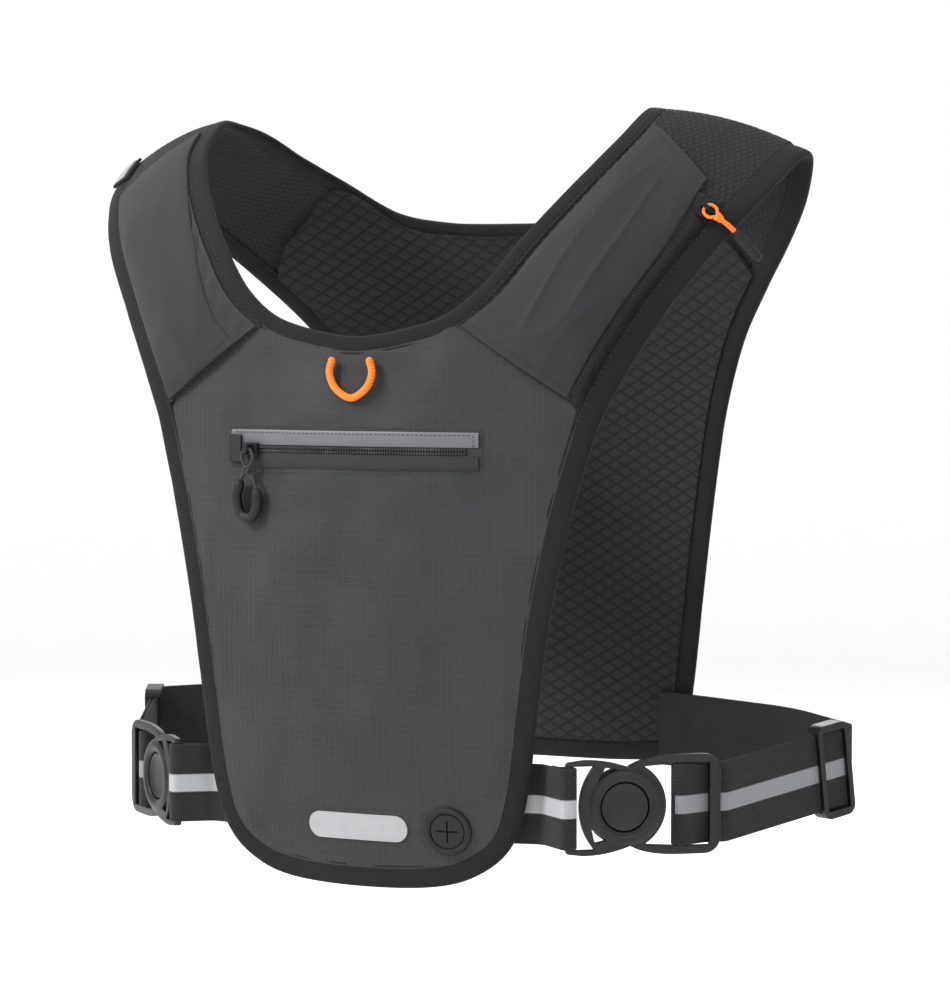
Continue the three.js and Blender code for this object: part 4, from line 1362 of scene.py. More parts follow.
@dataclass
class Flap:
    """A padded shoulder pocket over the front of a strap, with its gusset."""

    side: Side
    top: Pair
    neck_in: Callable[[Points], Points]
    arm_in: Callable[[Points], Points]
    gusset: Pair
    seed: int
    shape: VestShape = field(default_factory=VestShape)
    puff: float = 4.0
    low: float = 1.6
    cloth: float = 1.4
    thinnest: float = 0.9
    seam: float = 0.994
    wave: float = 30.0
    soft_deep: float = 1.6
    sharp_deep: float = 1.5

    @property
    def word(self) -> str:
        """The side's name."""
        return self.side.name.lower()

    def spots(self, u: Points, v: Points) -> tuple[Points, Points]:
        """Places of the flap on its strap.

        Args:
            u: share across, from the neck side.
            v: share up, from the seam with the front panel.

        Returns:
            Distance in from the strap's neck edge, and share down the strap.
        """
        top = self.top[0] + (self.top[1] - self.top[0]) * u
        share = self.seam + (top - self.seam) * v
        flat = share.ravel()
        width = self.shape.edges(flat)[2]
        inner, outer = self.neck_in(flat), width - self.arm_in(flat)
        return (inner + (outer - inner) * u.ravel()).reshape(share.shape), share

    def edge(self, u: float | Points, v: float | Points, out: float) -> Points:
        """A line over the flap, raised off the strap.

        Args:
            u: share across, from the neck side.
            v: share up, from the seam with the front panel.
            out: how far the line lies off the strap.

        Returns:
            Points of the line.
        """
        u, v = np.broadcast_arrays(np.asarray(u, float), np.asarray(v, float))
        inward, share = self.spots(u[:, None], v[:, None])
        line = self.shape.strap(inward, share, self.side)[:, 0]
        side = self.shape.strap(inward + 1, share, self.side)[:, 0] - line
        down = self.shape.strap(inward, share + 0.004, self.side)[:, 0] - line
        normal = unit(np.cross(side, down))
        forward = np.where(normal[:, 1:2] > 0, -1, 1)
        return line + normal * forward * out

    def face(self, u: Points, v: Points) -> Points:
        """Height of the padded flap, with soft folds and a few sharp creases.

        Args:
            u: share across, from the neck side.
            v: share up, from the seam with the front panel.

        Returns:
            One height for each place.
        """
        crown = (np.sin(np.pi * u) ** 0.62) * (np.sin(np.pi * np.clip(v * 1.02, 0, 1)) ** 0.55)
        soft = ripple(u * 38 + v * 9, v * 46, self.wave, self.seed)
        sharp = (1 - np.minimum(np.abs(ripple(u * 52, v * 34, self.wave, self.seed + 5)), 1)) ** 3
        low_down = 0.4 + 0.6 * np.cos(np.pi * v / 2) ** 2
        folds = soft * self.soft_deep + sharp * self.sharp_deep * low_down
        high = self.low + self.cloth + crown * (self.puff + folds)
        return np.maximum(high, self.low + self.thinnest)

    def build(self) -> None:
        """The flap, its gusset and its stitches."""
        u, v = np.meshgrid(np.linspace(0, 1, 60), np.linspace(0, 1, 84), indexing="ij")
        inward, share = self.spots(u, v)
        grid = self.shape.strap(inward, share, self.side)
        piece = slab(f"pocket_flap_cloth_{self.word}", grid, self.low, self.face(u, v))
        dress(piece, Finish.STRETCH, "front", [f"pocket_flap_{self.word}"])
        declare_sheet(piece, grid)
        rows, top = np.linspace(0.02, 0.98, 60), self.low + self.cloth
        lines = [self.edge(rows, 0.035, top + 1.1), self.edge(rows, 0.972, top + 1.0)]
        FINE_STITCH.make(f"pocket_flap_stitches_{self.word}", lines, Finish.THREAD, "front")
        self.build_gusset()

    def build_gusset(self) -> None:
        """The single cloth beside the flap's open edge."""
        u, v = np.meshgrid(np.linspace(0, 1, 14), np.linspace(0, 1, 60), indexing="ij")
        share = self.seam + (self.gusset[0] - self.seam) * v
        flat = share.ravel()
        width = self.shape.edges(flat)[2]
        if self.side is Side.LEFT:
            start, end = width - self.arm_in(flat), width - self.gusset[1]
        else:
            start, end = np.full_like(width, self.gusset[1]), self.neck_in(flat) + 1.0
        inward = (start + (end - start) * u.ravel()).reshape(share.shape)
        grid = self.shape.strap(inward, share, self.side)
        crumple = ripple(u * 14, v * 90, 11, self.seed + 9) * 0.75 * np.sin(np.pi * u)
        # The left gusset takes the darker stretch: painted shade on its shadowed arm side.
        finish = Finish.GUSSET if self.side is Side.LEFT else Finish.STRETCH
        piece = slab(f"pocket_gusset_cloth_{self.word}", grid, self.low, self.low + 1.0 + crumple)
        dress(piece, finish, "front", [f"pocket_gusset_{self.word}"])
        declare_sheet(piece, grid)


@dataclass(frozen=True)
class Inset:
    """How far a flap's edge lies in from the strap's, easing from one distance to another."""

    start: float
    end: float
    ease: Pair = (0.0, 1.0)

    def __call__(self, share: Points) -> Points:
        """Distance at shares down the strap."""
        return self.start + (self.end - self.start) * smoothstep(*self.ease, share)


def pocket_flaps() -> list[Flap]:
    """The zipped flap on the left shoulder and the open one on the right."""
    return [
        Flap(Side.LEFT, (0.26, 0.38), Inset(10.9, 10.9), Inset(27.0, 18.0, (0.3, 0.62)), (0.42, 13.0), 21),
        Flap(Side.RIGHT, (0.24, 0.36), Inset(10.9, 25.4, (0.42, 1.0)), Inset(13.0, 13.0), (0.5, 10.9), 35),
    ]


# ---------------------------------------------------------------------------- trim of the front
def merge(name: str, parts: Sequence[Piece]) -> Piece:
    """One piece from several.

    Args:
        name: the new piece's name.
        parts: mesh objects, which are used up.

    Returns:
        The new piece.
    """
    bm = bmesh.new()
    for part in parts:
        bm.from_mesh(part.data)
    mesh = bpy.data.meshes.new(name)
    bm.to_mesh(mesh)
    bm.free()
    for part in parts:
        bpy.data.objects.remove(part)
    return put(name, mesh)


@dataclass(frozen=True)
class Seat:
    """A small frame of its own: x along, y up and z outward."""

    origin: Points
    along: Points
    up: Points
    out: Points

    def place(self, points: Points) -> Points:
        """Points of this frame in the vest's."""
        p = np.atleast_2d(np.asarray(points, float))
        return self.origin + p[:, :1] * self.along + p[:, 1:2] * self.up + p[:, 2:3] * self.out


def knot(name: str, seat: Seat, centre: Sequence[float], radius: float, thick: float) -> Piece:
    """An overhand knot as a small wound cord.

    Args:
        name: the piece's name.
        seat: the frame that it sits in.
        centre: its middle in that frame.
        radius: half its width.
        thick: width of its cord.

    Returns:
        One closed piece.
    """
    t = np.linspace(0, 2 * math.pi, 61)[:-1]
    wound = np.stack([np.sin(t) + 2 * np.sin(2 * t), np.cos(t) - 2 * np.cos(2 * t),
                      -1.3 * np.sin(3 * t)], axis=1)
    path = np.array(centre) + wound * ((radius - thick / 2) / 3.0)
    path = np.vstack([path, path[:1]])
    return tube(name, seat.place(path), thick / 2, 10)


def arc(cx: float, cy: float, radius: float, start: float, end: float, steps: int) -> list[Pair]:
    """Points of a round arc."""
    return [(cx + radius * math.cos(a), cy + radius * math.sin(a)) for a in np.linspace(start, end, steps)]


def bend(start: Pair, middle: Pair, end: Pair, steps: int = 9) -> list[Pair]:
    """Points of a soft corner from start to end, drawn towards middle."""
    a, b, c = (np.array(point) for point in (start, middle, end))
    return [tuple((1 - t) ** 2 * a + 2 * t * (1 - t) * b + t * t * c) for t in np.linspace(0, 1, steps)]


def both_ways(right: Sequence[Pair], middle: Pair) -> list[Pair]:
    """A line through some points, a middle one and then their mirror images."""
    return [*right, middle, *((-x, y) for x, y in reversed(right))]


@dataclass
class ChestTrim:
    """Zip, reflective bar, cable port and hanging loop of the front panel."""

    shape: VestShape = field(default_factory=VestShape)
    face: float = 1.9
    zip_x: float = -2.5
    zip_z: float = -161.5
    zip_length: float = 131.0
    zip_height: float = 18.0
    teeth_half: float = 1.6
    room: float = 0.3
    trim_z: float = -339.5
    pill: Pair = (52.0, 12.5)
    port: Pair = (46.5, 11.6)

    def patch(self, cx: float, cz: float, dx: float, dz: float, size: tuple[int, int]) -> Points:
        """A rectangle of the pocket's face, as a grid.

        Args:
            cx: middle across.
            cz: middle up.
            dx: width.
            dz: height.
            size: how many points across and up.

        Returns:
            Points by rows and columns.
        """
        x, z = np.meshgrid(np.linspace(cx - dx / 2, cx + dx / 2, size[0]),
                           np.linspace(cz - dz / 2, cz + dz / 2, size[1]), indexing="ij")
        return self.shape.on_pocket(x, z)

    def line(self, corners: Sequence[Pair], out: float = 0.35) -> Points:
        """A line of the pocket's face.

        Args:
            corners: places that it joins, as x and z.
            out: how far it lies off the stitched cloth.

        Returns:
            Points 1.5 mm apart.
        """
        flat = np.array(corners, float)
        dense = resample(flat, 1.5)[0]
        return self.shape.on_pocket(dense[:, 0], dense[:, 1], self.face - self.room + out)

    def frame_line(self, half: float, high: float, out: float = 0.35) -> Points:
        """A rectangle of thread round the zip, from its half width and half height."""
        turns = ((-1, -1), (1, -1), (1, 1), (-1, 1), (-1, -1))
        return self.line([(self.zip_x + a * half, self.zip_z + b * high) for a, b in turns], out)

    def build_zip(self) -> None:
        """Tapes, teeth, garage, slider and the stitches round them."""
        tape = self.zip_height / 2 - self.teeth_half - self.room
        shift = self.teeth_half + self.room + tape / 2
        for word, sign in (("upper", 1), ("lower", -1)):
            grid = self.patch(self.zip_x, self.zip_z + sign * shift, self.zip_length, tape, (90, 8))
            edge = np.minimum(np.linspace(0, 1, 8), np.linspace(1, 0, 8))[None] * np.ones((90, 1))
            high = self.face + 0.35 + 0.45 * smoothstep(0.0, 0.2, edge)
            # The upper tape takes the lighter copy: painted highlight; the lower one is the plain stretch.
            dress(slab(f"zip_tape_cloth_{word}", grid, self.face - 0.5, high),
                  Finish.TAPE if sign > 0 else Finish.STRETCH, "front", [f"zip_tape_{word}"])
        grid = self.patch(self.zip_x, self.zip_z, self.zip_length - 12, 2 * self.teeth_half, (80, 3))
        # The coil tape takes the darker stretch: painted shade under the teeth.
        dress(slab("zip_coil_tape", grid, self.face - 0.5, self.face + 0.35), Finish.GUSSET, "front")
        x = np.linspace(self.zip_x - self.zip_length / 2 + 6, self.zip_x + self.zip_length / 2 - 6, 90)
        rows = [self.shape.on_pocket(x, np.full_like(x, self.zip_z + side * 0.95), self.face + 0.55)
                for side in (1, -1)]
        Row(1.35, 1.5, 0.95, (0.0, 0.0, 1.0)).make("zip_teeth", rows, Finish.ZIP_TEETH, "front", ["zip_coil"])
        dress_node("zip_garage", Finish.RUBBER, 0.35)
        dress_node("zip_slider", Finish.METAL, 0.35)
        half, high = self.zip_length / 2 + 2.2, self.zip_height / 2 + 2.0
        FINE_STITCH.make("zip_stitches", [self.frame_line(half, high)], Finish.THREAD, "front")
        FINE_STITCH.make("zip_tape_stitches", [self.frame_line(half - 4, high - 3.2, 1.2)],
                         Finish.THREAD, "front")

    def zip_seat(self) -> Seat:
        """Finds where the slider sits.

        Returns:
            Its frame on the zip.
        """
        x = self.zip_x - self.zip_length / 2 + 12.5
        swell = float(self.shape.swell(np.array(0.0), np.array(self.zip_z)))
        radius = 1 / (1 / self.shape.chest_radius + 2 * swell / self.shape.puff_half_width ** 2)
        turn = math.atan2(x, radius)
        origin = self.shape.on_pocket(np.array(x), np.array(self.zip_z), self.face + 1.4)
        return Seat(origin, np.array([math.cos(turn), math.sin(turn), 0]), np.array([0, 0, 1.0]),
                    np.array([math.sin(turn), -math.cos(turn), 0]))

    def build_pull(self) -> None:
        """Cord, knot and rubber grip of the chest zip."""
        seat, bail = self.zip_seat(), BAIL_HIGH

        def path(points: Sequence[Pair], count: int) -> Points:
            """A smooth line at the height of the bail's eye."""
            return seat.place(Line([(x, y, bail) for x, y in points]).at(np.linspace(0, 1, count)))

        right = [(0.8, -9.2), (1.2, -8.4), (3.2, -5), (2.6, -1.2)]
        loop = path(both_ways(right, (0, 0)), 60)
        parts = [tube("loop", loop, THIN_RADIUS, 10), knot("knot", seat, (0, -9.9, bail), 2.9, 1.9),
                 tube("tail", path([(-0.6, -10.6), (-3.4, -13.8), (-4.7, -17.4)], 20), THIN_RADIUS, 10),
                 tube("tail", path([(0.6, -10.6), (4, -15), (5.8, -21.4)], 24), THIN_RADIUS, 10)]
        dress(merge("zip_pull_thin_cord", parts), Finish.THIN_CORD, "zip_pull", ["zip_pull_cord"])
        curve = path([(-4.8, -17), (-6.4, -24), (-3.6, -31.5), (2.4, -32.5), (5.8, -27.5), (5.9, -21)], 90)
        ridge = 2.5 - 0.05 * (0.5 + 0.5 * np.cos(np.linspace(0, 15 * 2 * math.pi, 90)))
        dress(tube("zip_pull_rubber", curve, ridge, 18), Finish.RUBBER, "zip_pull", ["zip_pull_grip"])

    def build_marks(self) -> None:
        """Reflective bar and cable port."""
        u, v = np.meshgrid(np.linspace(0, 1, 72), np.linspace(0, 1, 12), indexing="ij")
        length, height = self.pill
        x = (-length / 2 + 0.05) * np.cos(np.pi * u)
        over = np.maximum(np.abs(x) - (length - height) / 2, 0) / (height / 2)
        z = self.trim_z + (v - 0.5) * height * np.sqrt(np.maximum(1 - over ** 2, 1e-4))
        grid = self.shape.on_pocket(x, z)
        dress(slab("reflective_tape", grid, self.face - 0.5, self.face + 0.5), Finish.REFLECTIVE, "front",
              ["reflective_bar"])
        cx, radius = self.port

        def lay(points: Points) -> Points:
            """Points drawn flat, laid on the pocket."""
            x, z, out = points.T
            return self.shape.on_pocket(cx + x, self.trim_z + z, self.face + out)

        profile = [(8.5, -0.4), (8.45, 1.3), (8.9, 1.9), (9.7, 2.2),
                   (10.5, 2.1), (11.2, 1.5), (11.55, 0.7), (11.6, -0.4)]
        dress(lathe("port_rim", profile, lay, 72), Finish.RUBBER, "front", ["port_ring"])
        dress_node("port_diaphragm", Finish.RUBBER, 0.15)
        ring = arc(cx, self.trim_z, radius + 2.6, 0, 2 * math.pi, 90)
        FINE_STITCH.make("port_stitches", [self.line(ring)], Finish.THREAD, "front")

    def build_loop(self) -> None:
        """The orange loop under the neck."""
        half, low = (26.0 - 3.5) / 2, -119.3
        y = float(self.shape.front_y(np.array(0.0), np.array(low))) - 5.3
        flat = both_ways([(-half + 1.2, 0), (-half, 5.5), (-half + 2.8, 12.5)], (0, 17.5))
        path = Line([(x, y, low - down) for x, down in flat]).at(np.linspace(0, 1, 90))
        dress(tube("neck_loop_cord", path, 1.75, 16), Finish.ORANGE, "neck_loop", ["neck_loop"])

    def build(self) -> None:
        """All of the trim."""
        self.build_zip()
        self.build_pull()
        self.build_marks()
        self.build_loop()


@dataclass
class StrapTrim:
    """Zip of the left shoulder pocket with its orange pull, and the tab on the right arm edge."""

    shape: VestShape = field(default_factory=VestShape)
    coil_in: float = -15.7
    coil_low: float = 2.9
    slider_share: float = 0.46
    slider_out: float = 4.3

    def seat(self) -> Seat:
        """Finds where the slider sits.

        Returns:
            Its frame: x up the strap, y away from the arm and z outward.
        """
        here, step, strap = self.slider_share, 0.01, self.shape.strap
        up = unit(strap(self.coil_in, here - step) - strap(self.coil_in, here + step))
        side = strap(self.coil_in + 1, here) - strap(self.coil_in - 1, here)
        out = unit(np.cross(side, up))
        return Seat(strap(self.coil_in, here) + out * self.slider_out, up, np.cross(out, up), out)

    def build(self) -> None:
        """Coil, slider, pull and tab."""
        share = np.linspace(0.43, 0.97, 90)
        inward = np.linspace(self.coil_in - 1.7, self.coil_in + 1.7, 4)
        grid = self.shape.strap(inward[None] * np.ones((90, 1)), share[:, None] * np.ones((1, 4)))
        # The coil tape takes the darker stretch: painted shade under the flap's overhang.
        tape = slab("pocket_coil_tape", grid, self.coil_low - 0.4, self.coil_low + 0.4)
        dress(tape, Finish.GUSSET, "front")
        normals = grid_normals(grid)
        across = unit(grid[45, 3] - grid[45, 0])
        rows = [grid[:, k] + normals[:, k] * (self.coil_low + 0.6) for k in (1, 2)]
        # Darker teeth: painted shade under the flap.
        Row(1.5, 1.7, 0.9, tuple(across)).make("pocket_teeth", rows, Finish.TEETH, "front", ["pocket_coil"])
        dress_node("pocket_slider", Finish.METAL, 0.35)
        seat, bail = self.seat(), BAIL_HIGH
        flat = both_ways([(0.6, -7.2), (1, -6.4), (3, -4.2), (2.6, -1.2)], (0, 0))
        loop = seat.place(Line([(x, y, bail) for x, y in flat]).at(np.linspace(0, 1, 60)))
        stem = Line([(0, -8.4, bail), (0, -9.2, 3.3), (0.6, -14, 2), (1, -18.2, 0.1)])
        stem = seat.place(stem.at(np.linspace(0, 1, 30)))
        parts = [tube("loop", loop, THIN_RADIUS, 10), knot("knot", seat, (0, -7.9, bail), 2.6, 2.0),
                 tube("stem", stem, 1.15, 12)]
        dress(merge("pocket_pull_orange_cord", parts), Finish.ORANGE, "pocket_pull", ["pocket_pull_cord"])
        tip = seat.place(Line([(1, -18, 0), (1.4, -25, -3.4), (1.2, -32, -6.4)]).at(np.linspace(0, 1, 48)))
        t = np.linspace(0, 1, 48)
        ridges = 0.12 * (0.5 + 0.5 * np.cos(t * 50))
        radius = 1.9 + 0.6 * smoothstep(0, 0.2, t) - 0.3 * smoothstep(0.85, 1, t) - ridges
        dress(tube("pocket_pull_rubber", tip, radius, 18), Finish.RUBBER, "pocket_pull", ["pocket_pull_tip"])
        for name, node, edges, rows, low, high, finish in (
                ("tab_cloth", "tab_webbing", (-14, -1), (0.2, 0.29), 2.0, 3.5, Finish.WEBBING),
                ("tab_shine", "tab_reflector", (-11, -3), (0.205, 0.285), 3.4, 4.1, Finish.REFLECTIVE)):
            inward, share = np.meshgrid(np.linspace(*edges, 14), np.linspace(*rows, 22), indexing="ij")
            grid = self.shape.strap(inward, share, Side.RIGHT)
            dress(slab(name, grid, low, high), finish, "front", [node])


# ---------------------------------------------------------------------------- belt and buckles
@dataclass
class Belt:
    """Elastic belt, its short front webbing, buckles and sliders."""

    shape: VestShape = field(default_factory=VestShape)
    centre: tuple[float, float, float] = (123.5, -79.0, -326.0)
    tilt: float = math.radians(39)
    web_thick: float = 1.5
    web_width: float = 38.0
    lining: float = 2.6
    half_panel: float = 0.7
    plate: float = 3.4
    bar: float = 1.4
    front_bar: float = -27.0
    belt_bar: float = 27.7
    belt_end: float = 47.5
    ring: float = 18.2
    disc: float = 11.8
    room: float = 0.3
    corner: Pair = (197.0, 33.0)
    root_x: float = 66.0
    root_z: float = -312.0
    corner_z: float = -315.0
    past_stripe: float = 100.0
    belt_shown: tuple[int, int] = (26, 58)
    front_shown: int = 28

    @property
    def wrap(self) -> float:
        """Distance from a bar's axis to the middle of the webbing round it."""
        return math.hypot(self.bar, self.plate / 2) + self.room + self.web_thick / 2

    @property
    def front_base(self) -> float:
        """Underside of the front buckle half."""
        return self.plate / 2 + self.room + 0.2

    def plan(self, x: float, n: float) -> Points:
        """Plan position from the buckle's own frame."""
        return np.array([self.centre[0] + x * math.cos(self.tilt) + n * math.sin(self.tilt),
                         self.centre[1] + x * math.sin(self.tilt) - n * math.cos(self.tilt)])

    @staticmethod
    def route(corners: Sequence[tuple[Points, float]]) -> Points:
        """A plan route with rounded corners.

        Args:
            corners: each corner and its rounding.

        Returns:
            Points along the route.
        """
        points = [np.array(corners[0][0])]
        for (before, _), (corner, radius), (after, _) in zip(corners, corners[1:], corners[2:]):
            start = corner + unit(before - corner) * radius
            end = corner + unit(after - corner) * radius
            points += [np.array(p) for p in bend(tuple(start), tuple(corner), tuple(end), 9)]
        points.append(np.array(corners[-1][0]))
        return np.array(points)

    @property
    def off_cloth(self) -> float:
        """Distance from a panel's surface to the middle of the webbing behind its lining."""
        return self.lining + self.half_panel + self.web_thick / 2 + self.room

    def inside_back(self, x: float) -> float:
        """Depth of the belt behind the back panel's lining."""
        return float(self.shape.back_y(np.array(x), np.array(self.root_z))) - self.off_cloth

    def behind_front(self, x: float) -> float:
        """Depth of the short webbing behind the front panel's lining."""
        low = self.centre[2] - self.web_width / 2
        return float(self.shape.front_y(np.array(x), np.array(low))) + self.off_cloth

    def strap(self, name: str, plan: Points, height: Points, stripe: Points, outer: int,
              side: Side) -> Piece:
        """Webbing on edge along a plan route.

        Args:
            name: the piece's name.
            plan: points of the route from above.
            height: its middle height at each point.
            stripe: whether the outer face shows its stripe there.
            outer: 1 where the outer face lies to the left of the route, else -1.
            side: which side of the vest.

        Returns:
            The webbing.
        """
        line, up, shown = resample(plan, 1.6, height[:, None], stripe[:, None].astype(float))
        ahead = unit(np.gradient(line, axis=0))
        left = np.stack([-ahead[:, 1], ahead[:, 0]], axis=1)
        h, w = self.web_thick / 2, self.web_width / 2
        edge = [(h * math.cos(a), w - h + h * math.sin(a)) for a in np.linspace(0.3, math.pi - 0.3, 5)]
        rows = np.linspace(w - h - 0.4, -(w - h - 0.4), 13)
        profile = ([(h, z) for z in rows[::-1]] + edge + [(-h, z) for z in rows]
                   + [(-a, -z) for a, z in edge])
        rings = np.array([[(*(place + across * a), middle + z) for a, z in profile]
                          for place, across, middle in zip(line, left, up[:, 0])])
        rings[..., 0] *= side.value
        places = np.zeros((len(line), len(profile), 2))
        for j, (a, z) in enumerate(profile):
            b, z1 = profile[(j + 1) % len(profile)]
            plain = (a + b) * outer <= h
            places[:, j] = (z + w, z1 + w)
            places[:, j] += np.where((shown[:, 0] < 0.5) | plain, self.past_stripe, 0.0)[:, None]
        return sweep(name, rings, False, places, 50)

    def build_belt(self, side: Side) -> None:
        """One half of the belt, from the back panel through the buckle and back.

        Args:
            side: which side of the vest.
        """
        word = side.name.lower()
        dip = -(self.plate / 2 + self.room + 0.2 + self.web_thick / 2)
        start = self.plan(self.belt_end + 4, dip)
        corner = np.array(self.corner)
        along = unit(corner - start)
        out = np.array([along[1], -along[0]])
        pitch = self.web_thick + self.room
        middle = corner - along * 14.5
        outer_bar = self.belt_end - 5.5
        plan = self.route([
            (np.array([self.root_x, self.inside_back(self.root_x)]), 0),
            (np.array([85, self.inside_back(85) - 0.2]), 4), (np.array([150, 74]), 18), (corner, 5),
            (start, 2), (self.plan(outer_bar - 0.5, dip), 1),
            (self.plan(self.belt_bar + 1.6, self.wrap), 1.4),
            (self.plan(self.belt_bar - self.wrap, self.wrap), self.wrap),
            (self.plan(self.belt_bar - self.wrap, -self.wrap), self.wrap),
            (self.plan(self.belt_bar + 4, -self.wrap), 1), (self.plan(outer_bar, dip - pitch), 1),
            (start - out * pitch, 2), (middle - out * pitch + along * 4, 0)])
        back = (plan[:, 1] - corner[1]) / (self.inside_back(self.root_x) - corner[1])
        down = np.minimum((corner[1] - plan[:, 1]) / (corner[1] - start[1]), 1)
        height = np.where(back > 0, self.corner_z + (self.root_z - self.corner_z) * back,
                          self.corner_z + (self.centre[2] - self.corner_z) * down)
        order = np.arange(len(plan))
        first, last = self.belt_shown
        piece = self.strap(f"belt_strap_{word}", plan, height, (order > first) & (order < last), 1, side)
        dress(piece, Finish.STRIPED, f"belt_{word}", [f"belt_webbing_{word}"])

    def build_front_webbing(self, side: Side) -> None:
        """The short webbing from the front panel to the buckle, and its return.

        Args:
            side: which side of the vest.
        """
        word = side.name.lower()
        bar_n = self.front_base + self.plate / 2
        first = np.array([88.5, self.behind_front(88.5)])
        turn = self.plan(self.front_bar - 3.2, bar_n + self.wrap)
        ahead = unit(turn - first)
        inward = np.array([-ahead[1], ahead[0]]) * (self.web_thick + self.room + 0.1)
        returned = [first + (turn - first) * share + inward for share in (0.6, 0.3)]
        plan = self.route([
            (np.array([self.root_x, self.behind_front(self.root_x)]), 0), (first, 3), (turn, 0.8),
            (self.plan(self.front_bar + self.wrap, bar_n + self.wrap), self.wrap),
            (self.plan(self.front_bar + self.wrap, bar_n - self.wrap), self.wrap),
            (returned[0], 1), (returned[1], 0)])
        height = np.full(len(plan), self.centre[2])
        shown = np.arange(len(plan)) < self.front_shown
        piece = self.strap(f"front_strap_{word}", plan, height, shown, -1, side)
        # The lighter stripe is painted highlight.
        dress(piece, Finish.BRIGHT_STRIPED, "front", [f"front_webbing_{word}"])

    def seat(self, side: Side) -> Seat:
        """The buckle's frame."""
        flip = np.array([side.value, 1, 1])
        cos, sin = math.cos(self.tilt), math.sin(self.tilt)
        return Seat(np.array(self.centre) * flip, np.array([cos, sin, 0]) * flip,
                    np.array([0, 0, 1.0]), np.array([sin, -cos, 0]) * flip)

    def cut_plate(self, name: str, loops: Sequence[Sequence[Pair]], low: float, high: float,
                  edge: float, seat: Seat) -> Piece:
        """A moulded plate with rounded edges.

        Args:
            name: the piece's name.
            loops: its outline and then its holes.
            low: height of its underside.
            high: height of its face.
            edge: rounding of its edges.
            seat: where it goes.

        Returns:
            The plate.
        """
        curve = bpy.data.curves.new(name, "CURVE")
        curve.dimensions = "2D"
        curve.fill_mode = "BOTH"
        curve.extrude = (high - low) / 2 - edge
        curve.bevel_depth = edge
        curve.bevel_resolution = 3
        curve.offset = -edge
        for loop in loops:
            spline = curve.splines.new("POLY")
            spline.points.add(len(loop) - 1)
            for point, (x, y) in zip(spline.points, loop):
                point.co = (x, y, 0, 1)
            spline.use_cyclic_u = True
        draft = put(name, curve)
        bpy.context.view_layer.update()
        mesh = bpy.data.meshes.new_from_object(draft.evaluated_get(bpy.context.evaluated_depsgraph_get()))
        bpy.data.objects.remove(draft)
        flat = np.array([v.co[:] for v in mesh.vertices])
        flat[:, 2] += (low + high) / 2
        mesh.vertices.foreach_set("co", (seat.place(flat) * MM).ravel())
        finish_mesh(mesh, 40)
        return put(name, mesh)

    def front_loops(self) -> list[list[Pair]]:
        """Draws the front buckle half.

        Returns:
            Its outline and then its holes.
        """
        high, left, meet = 21.5, self.front_bar - self.bar, 1.35
        mx, my = self.ring * math.cos(meet), self.ring * math.sin(meet)
        outline = [(left, high - 2), (left, -high + 2),
                   *bend((left, -high + 2), (left, -high), (left + 2, -high))[1:],
                   (-20, -high - 0.8), *bend((-20, -high - 0.8), (-8, -high - 1), (mx, -my), 12)[1:],
                   *arc(0, 0, self.ring, -meet, meet, 48)[1:],
                   *bend((mx, my), (-8, high + 1), (-20, high + 0.8), 12)[1:],
                   (left + 2, high), *bend((left + 2, high), (left, high), (left, high - 2))[1:-1]]
        eye = self.web_width / 2 + 0.4
        bow = math.asin(eye / 30)
        window = [(self.front_bar + self.bar, -eye), (self.front_bar + self.bar, eye),
                  *arc(8, 0, 30, math.pi - bow, math.pi + bow, 30)]
        return [outline, window, [(-12.9, 12.2), (-9.5, 18.6), (-3.9, 17.5)],
                [(-16.2, -9.4), (-12.7, -12.5), (-9, -15.2), (-14.5, -16.3)],
                arc(0, 0, self.disc, 0, 2 * math.pi, 65)[:-1]]

    def belt_loops(self) -> list[list[Pair]]:
        """Draws the belt buckle half.

        Returns:
            Its outline and then its holes.
        """
        high, round_, meet, bar = 23.5, 8.0, 1.45, self.belt_bar
        mx, my = self.ring * math.cos(meet), self.ring * math.sin(meet)
        end = self.belt_end - round_
        outline = [(bar, -high), *arc(end, -high + round_, round_, -math.pi / 2, 0, 12),
                   *arc(end, high - round_, round_, 0, math.pi / 2, 12), (bar, high),
                   *bend((bar, high), (10, high), (mx, my), 12)[1:],
                   *arc(0, 0, self.ring, meet, 2 * math.pi - meet, 48)[1:],
                   *bend((mx, -my), (10, -high), (bar, -high), 12)[1:-1]]
        eye, outer = self.web_width / 2 + 0.4, self.belt_end - 5.5
        window = [(bar + self.bar, -eye), (outer, -eye), (outer, eye), (bar + self.bar, eye)]
        inner = [(bar - self.bar, eye - 0.15), (bar - self.bar, -eye + 0.15),
                 *arc(0, 0, 21, -math.pi / 3, math.pi / 3, 30)]
        return [outline, window, inner, arc(0, 0, 8, 0, 2 * math.pi, 49)[:-1]]

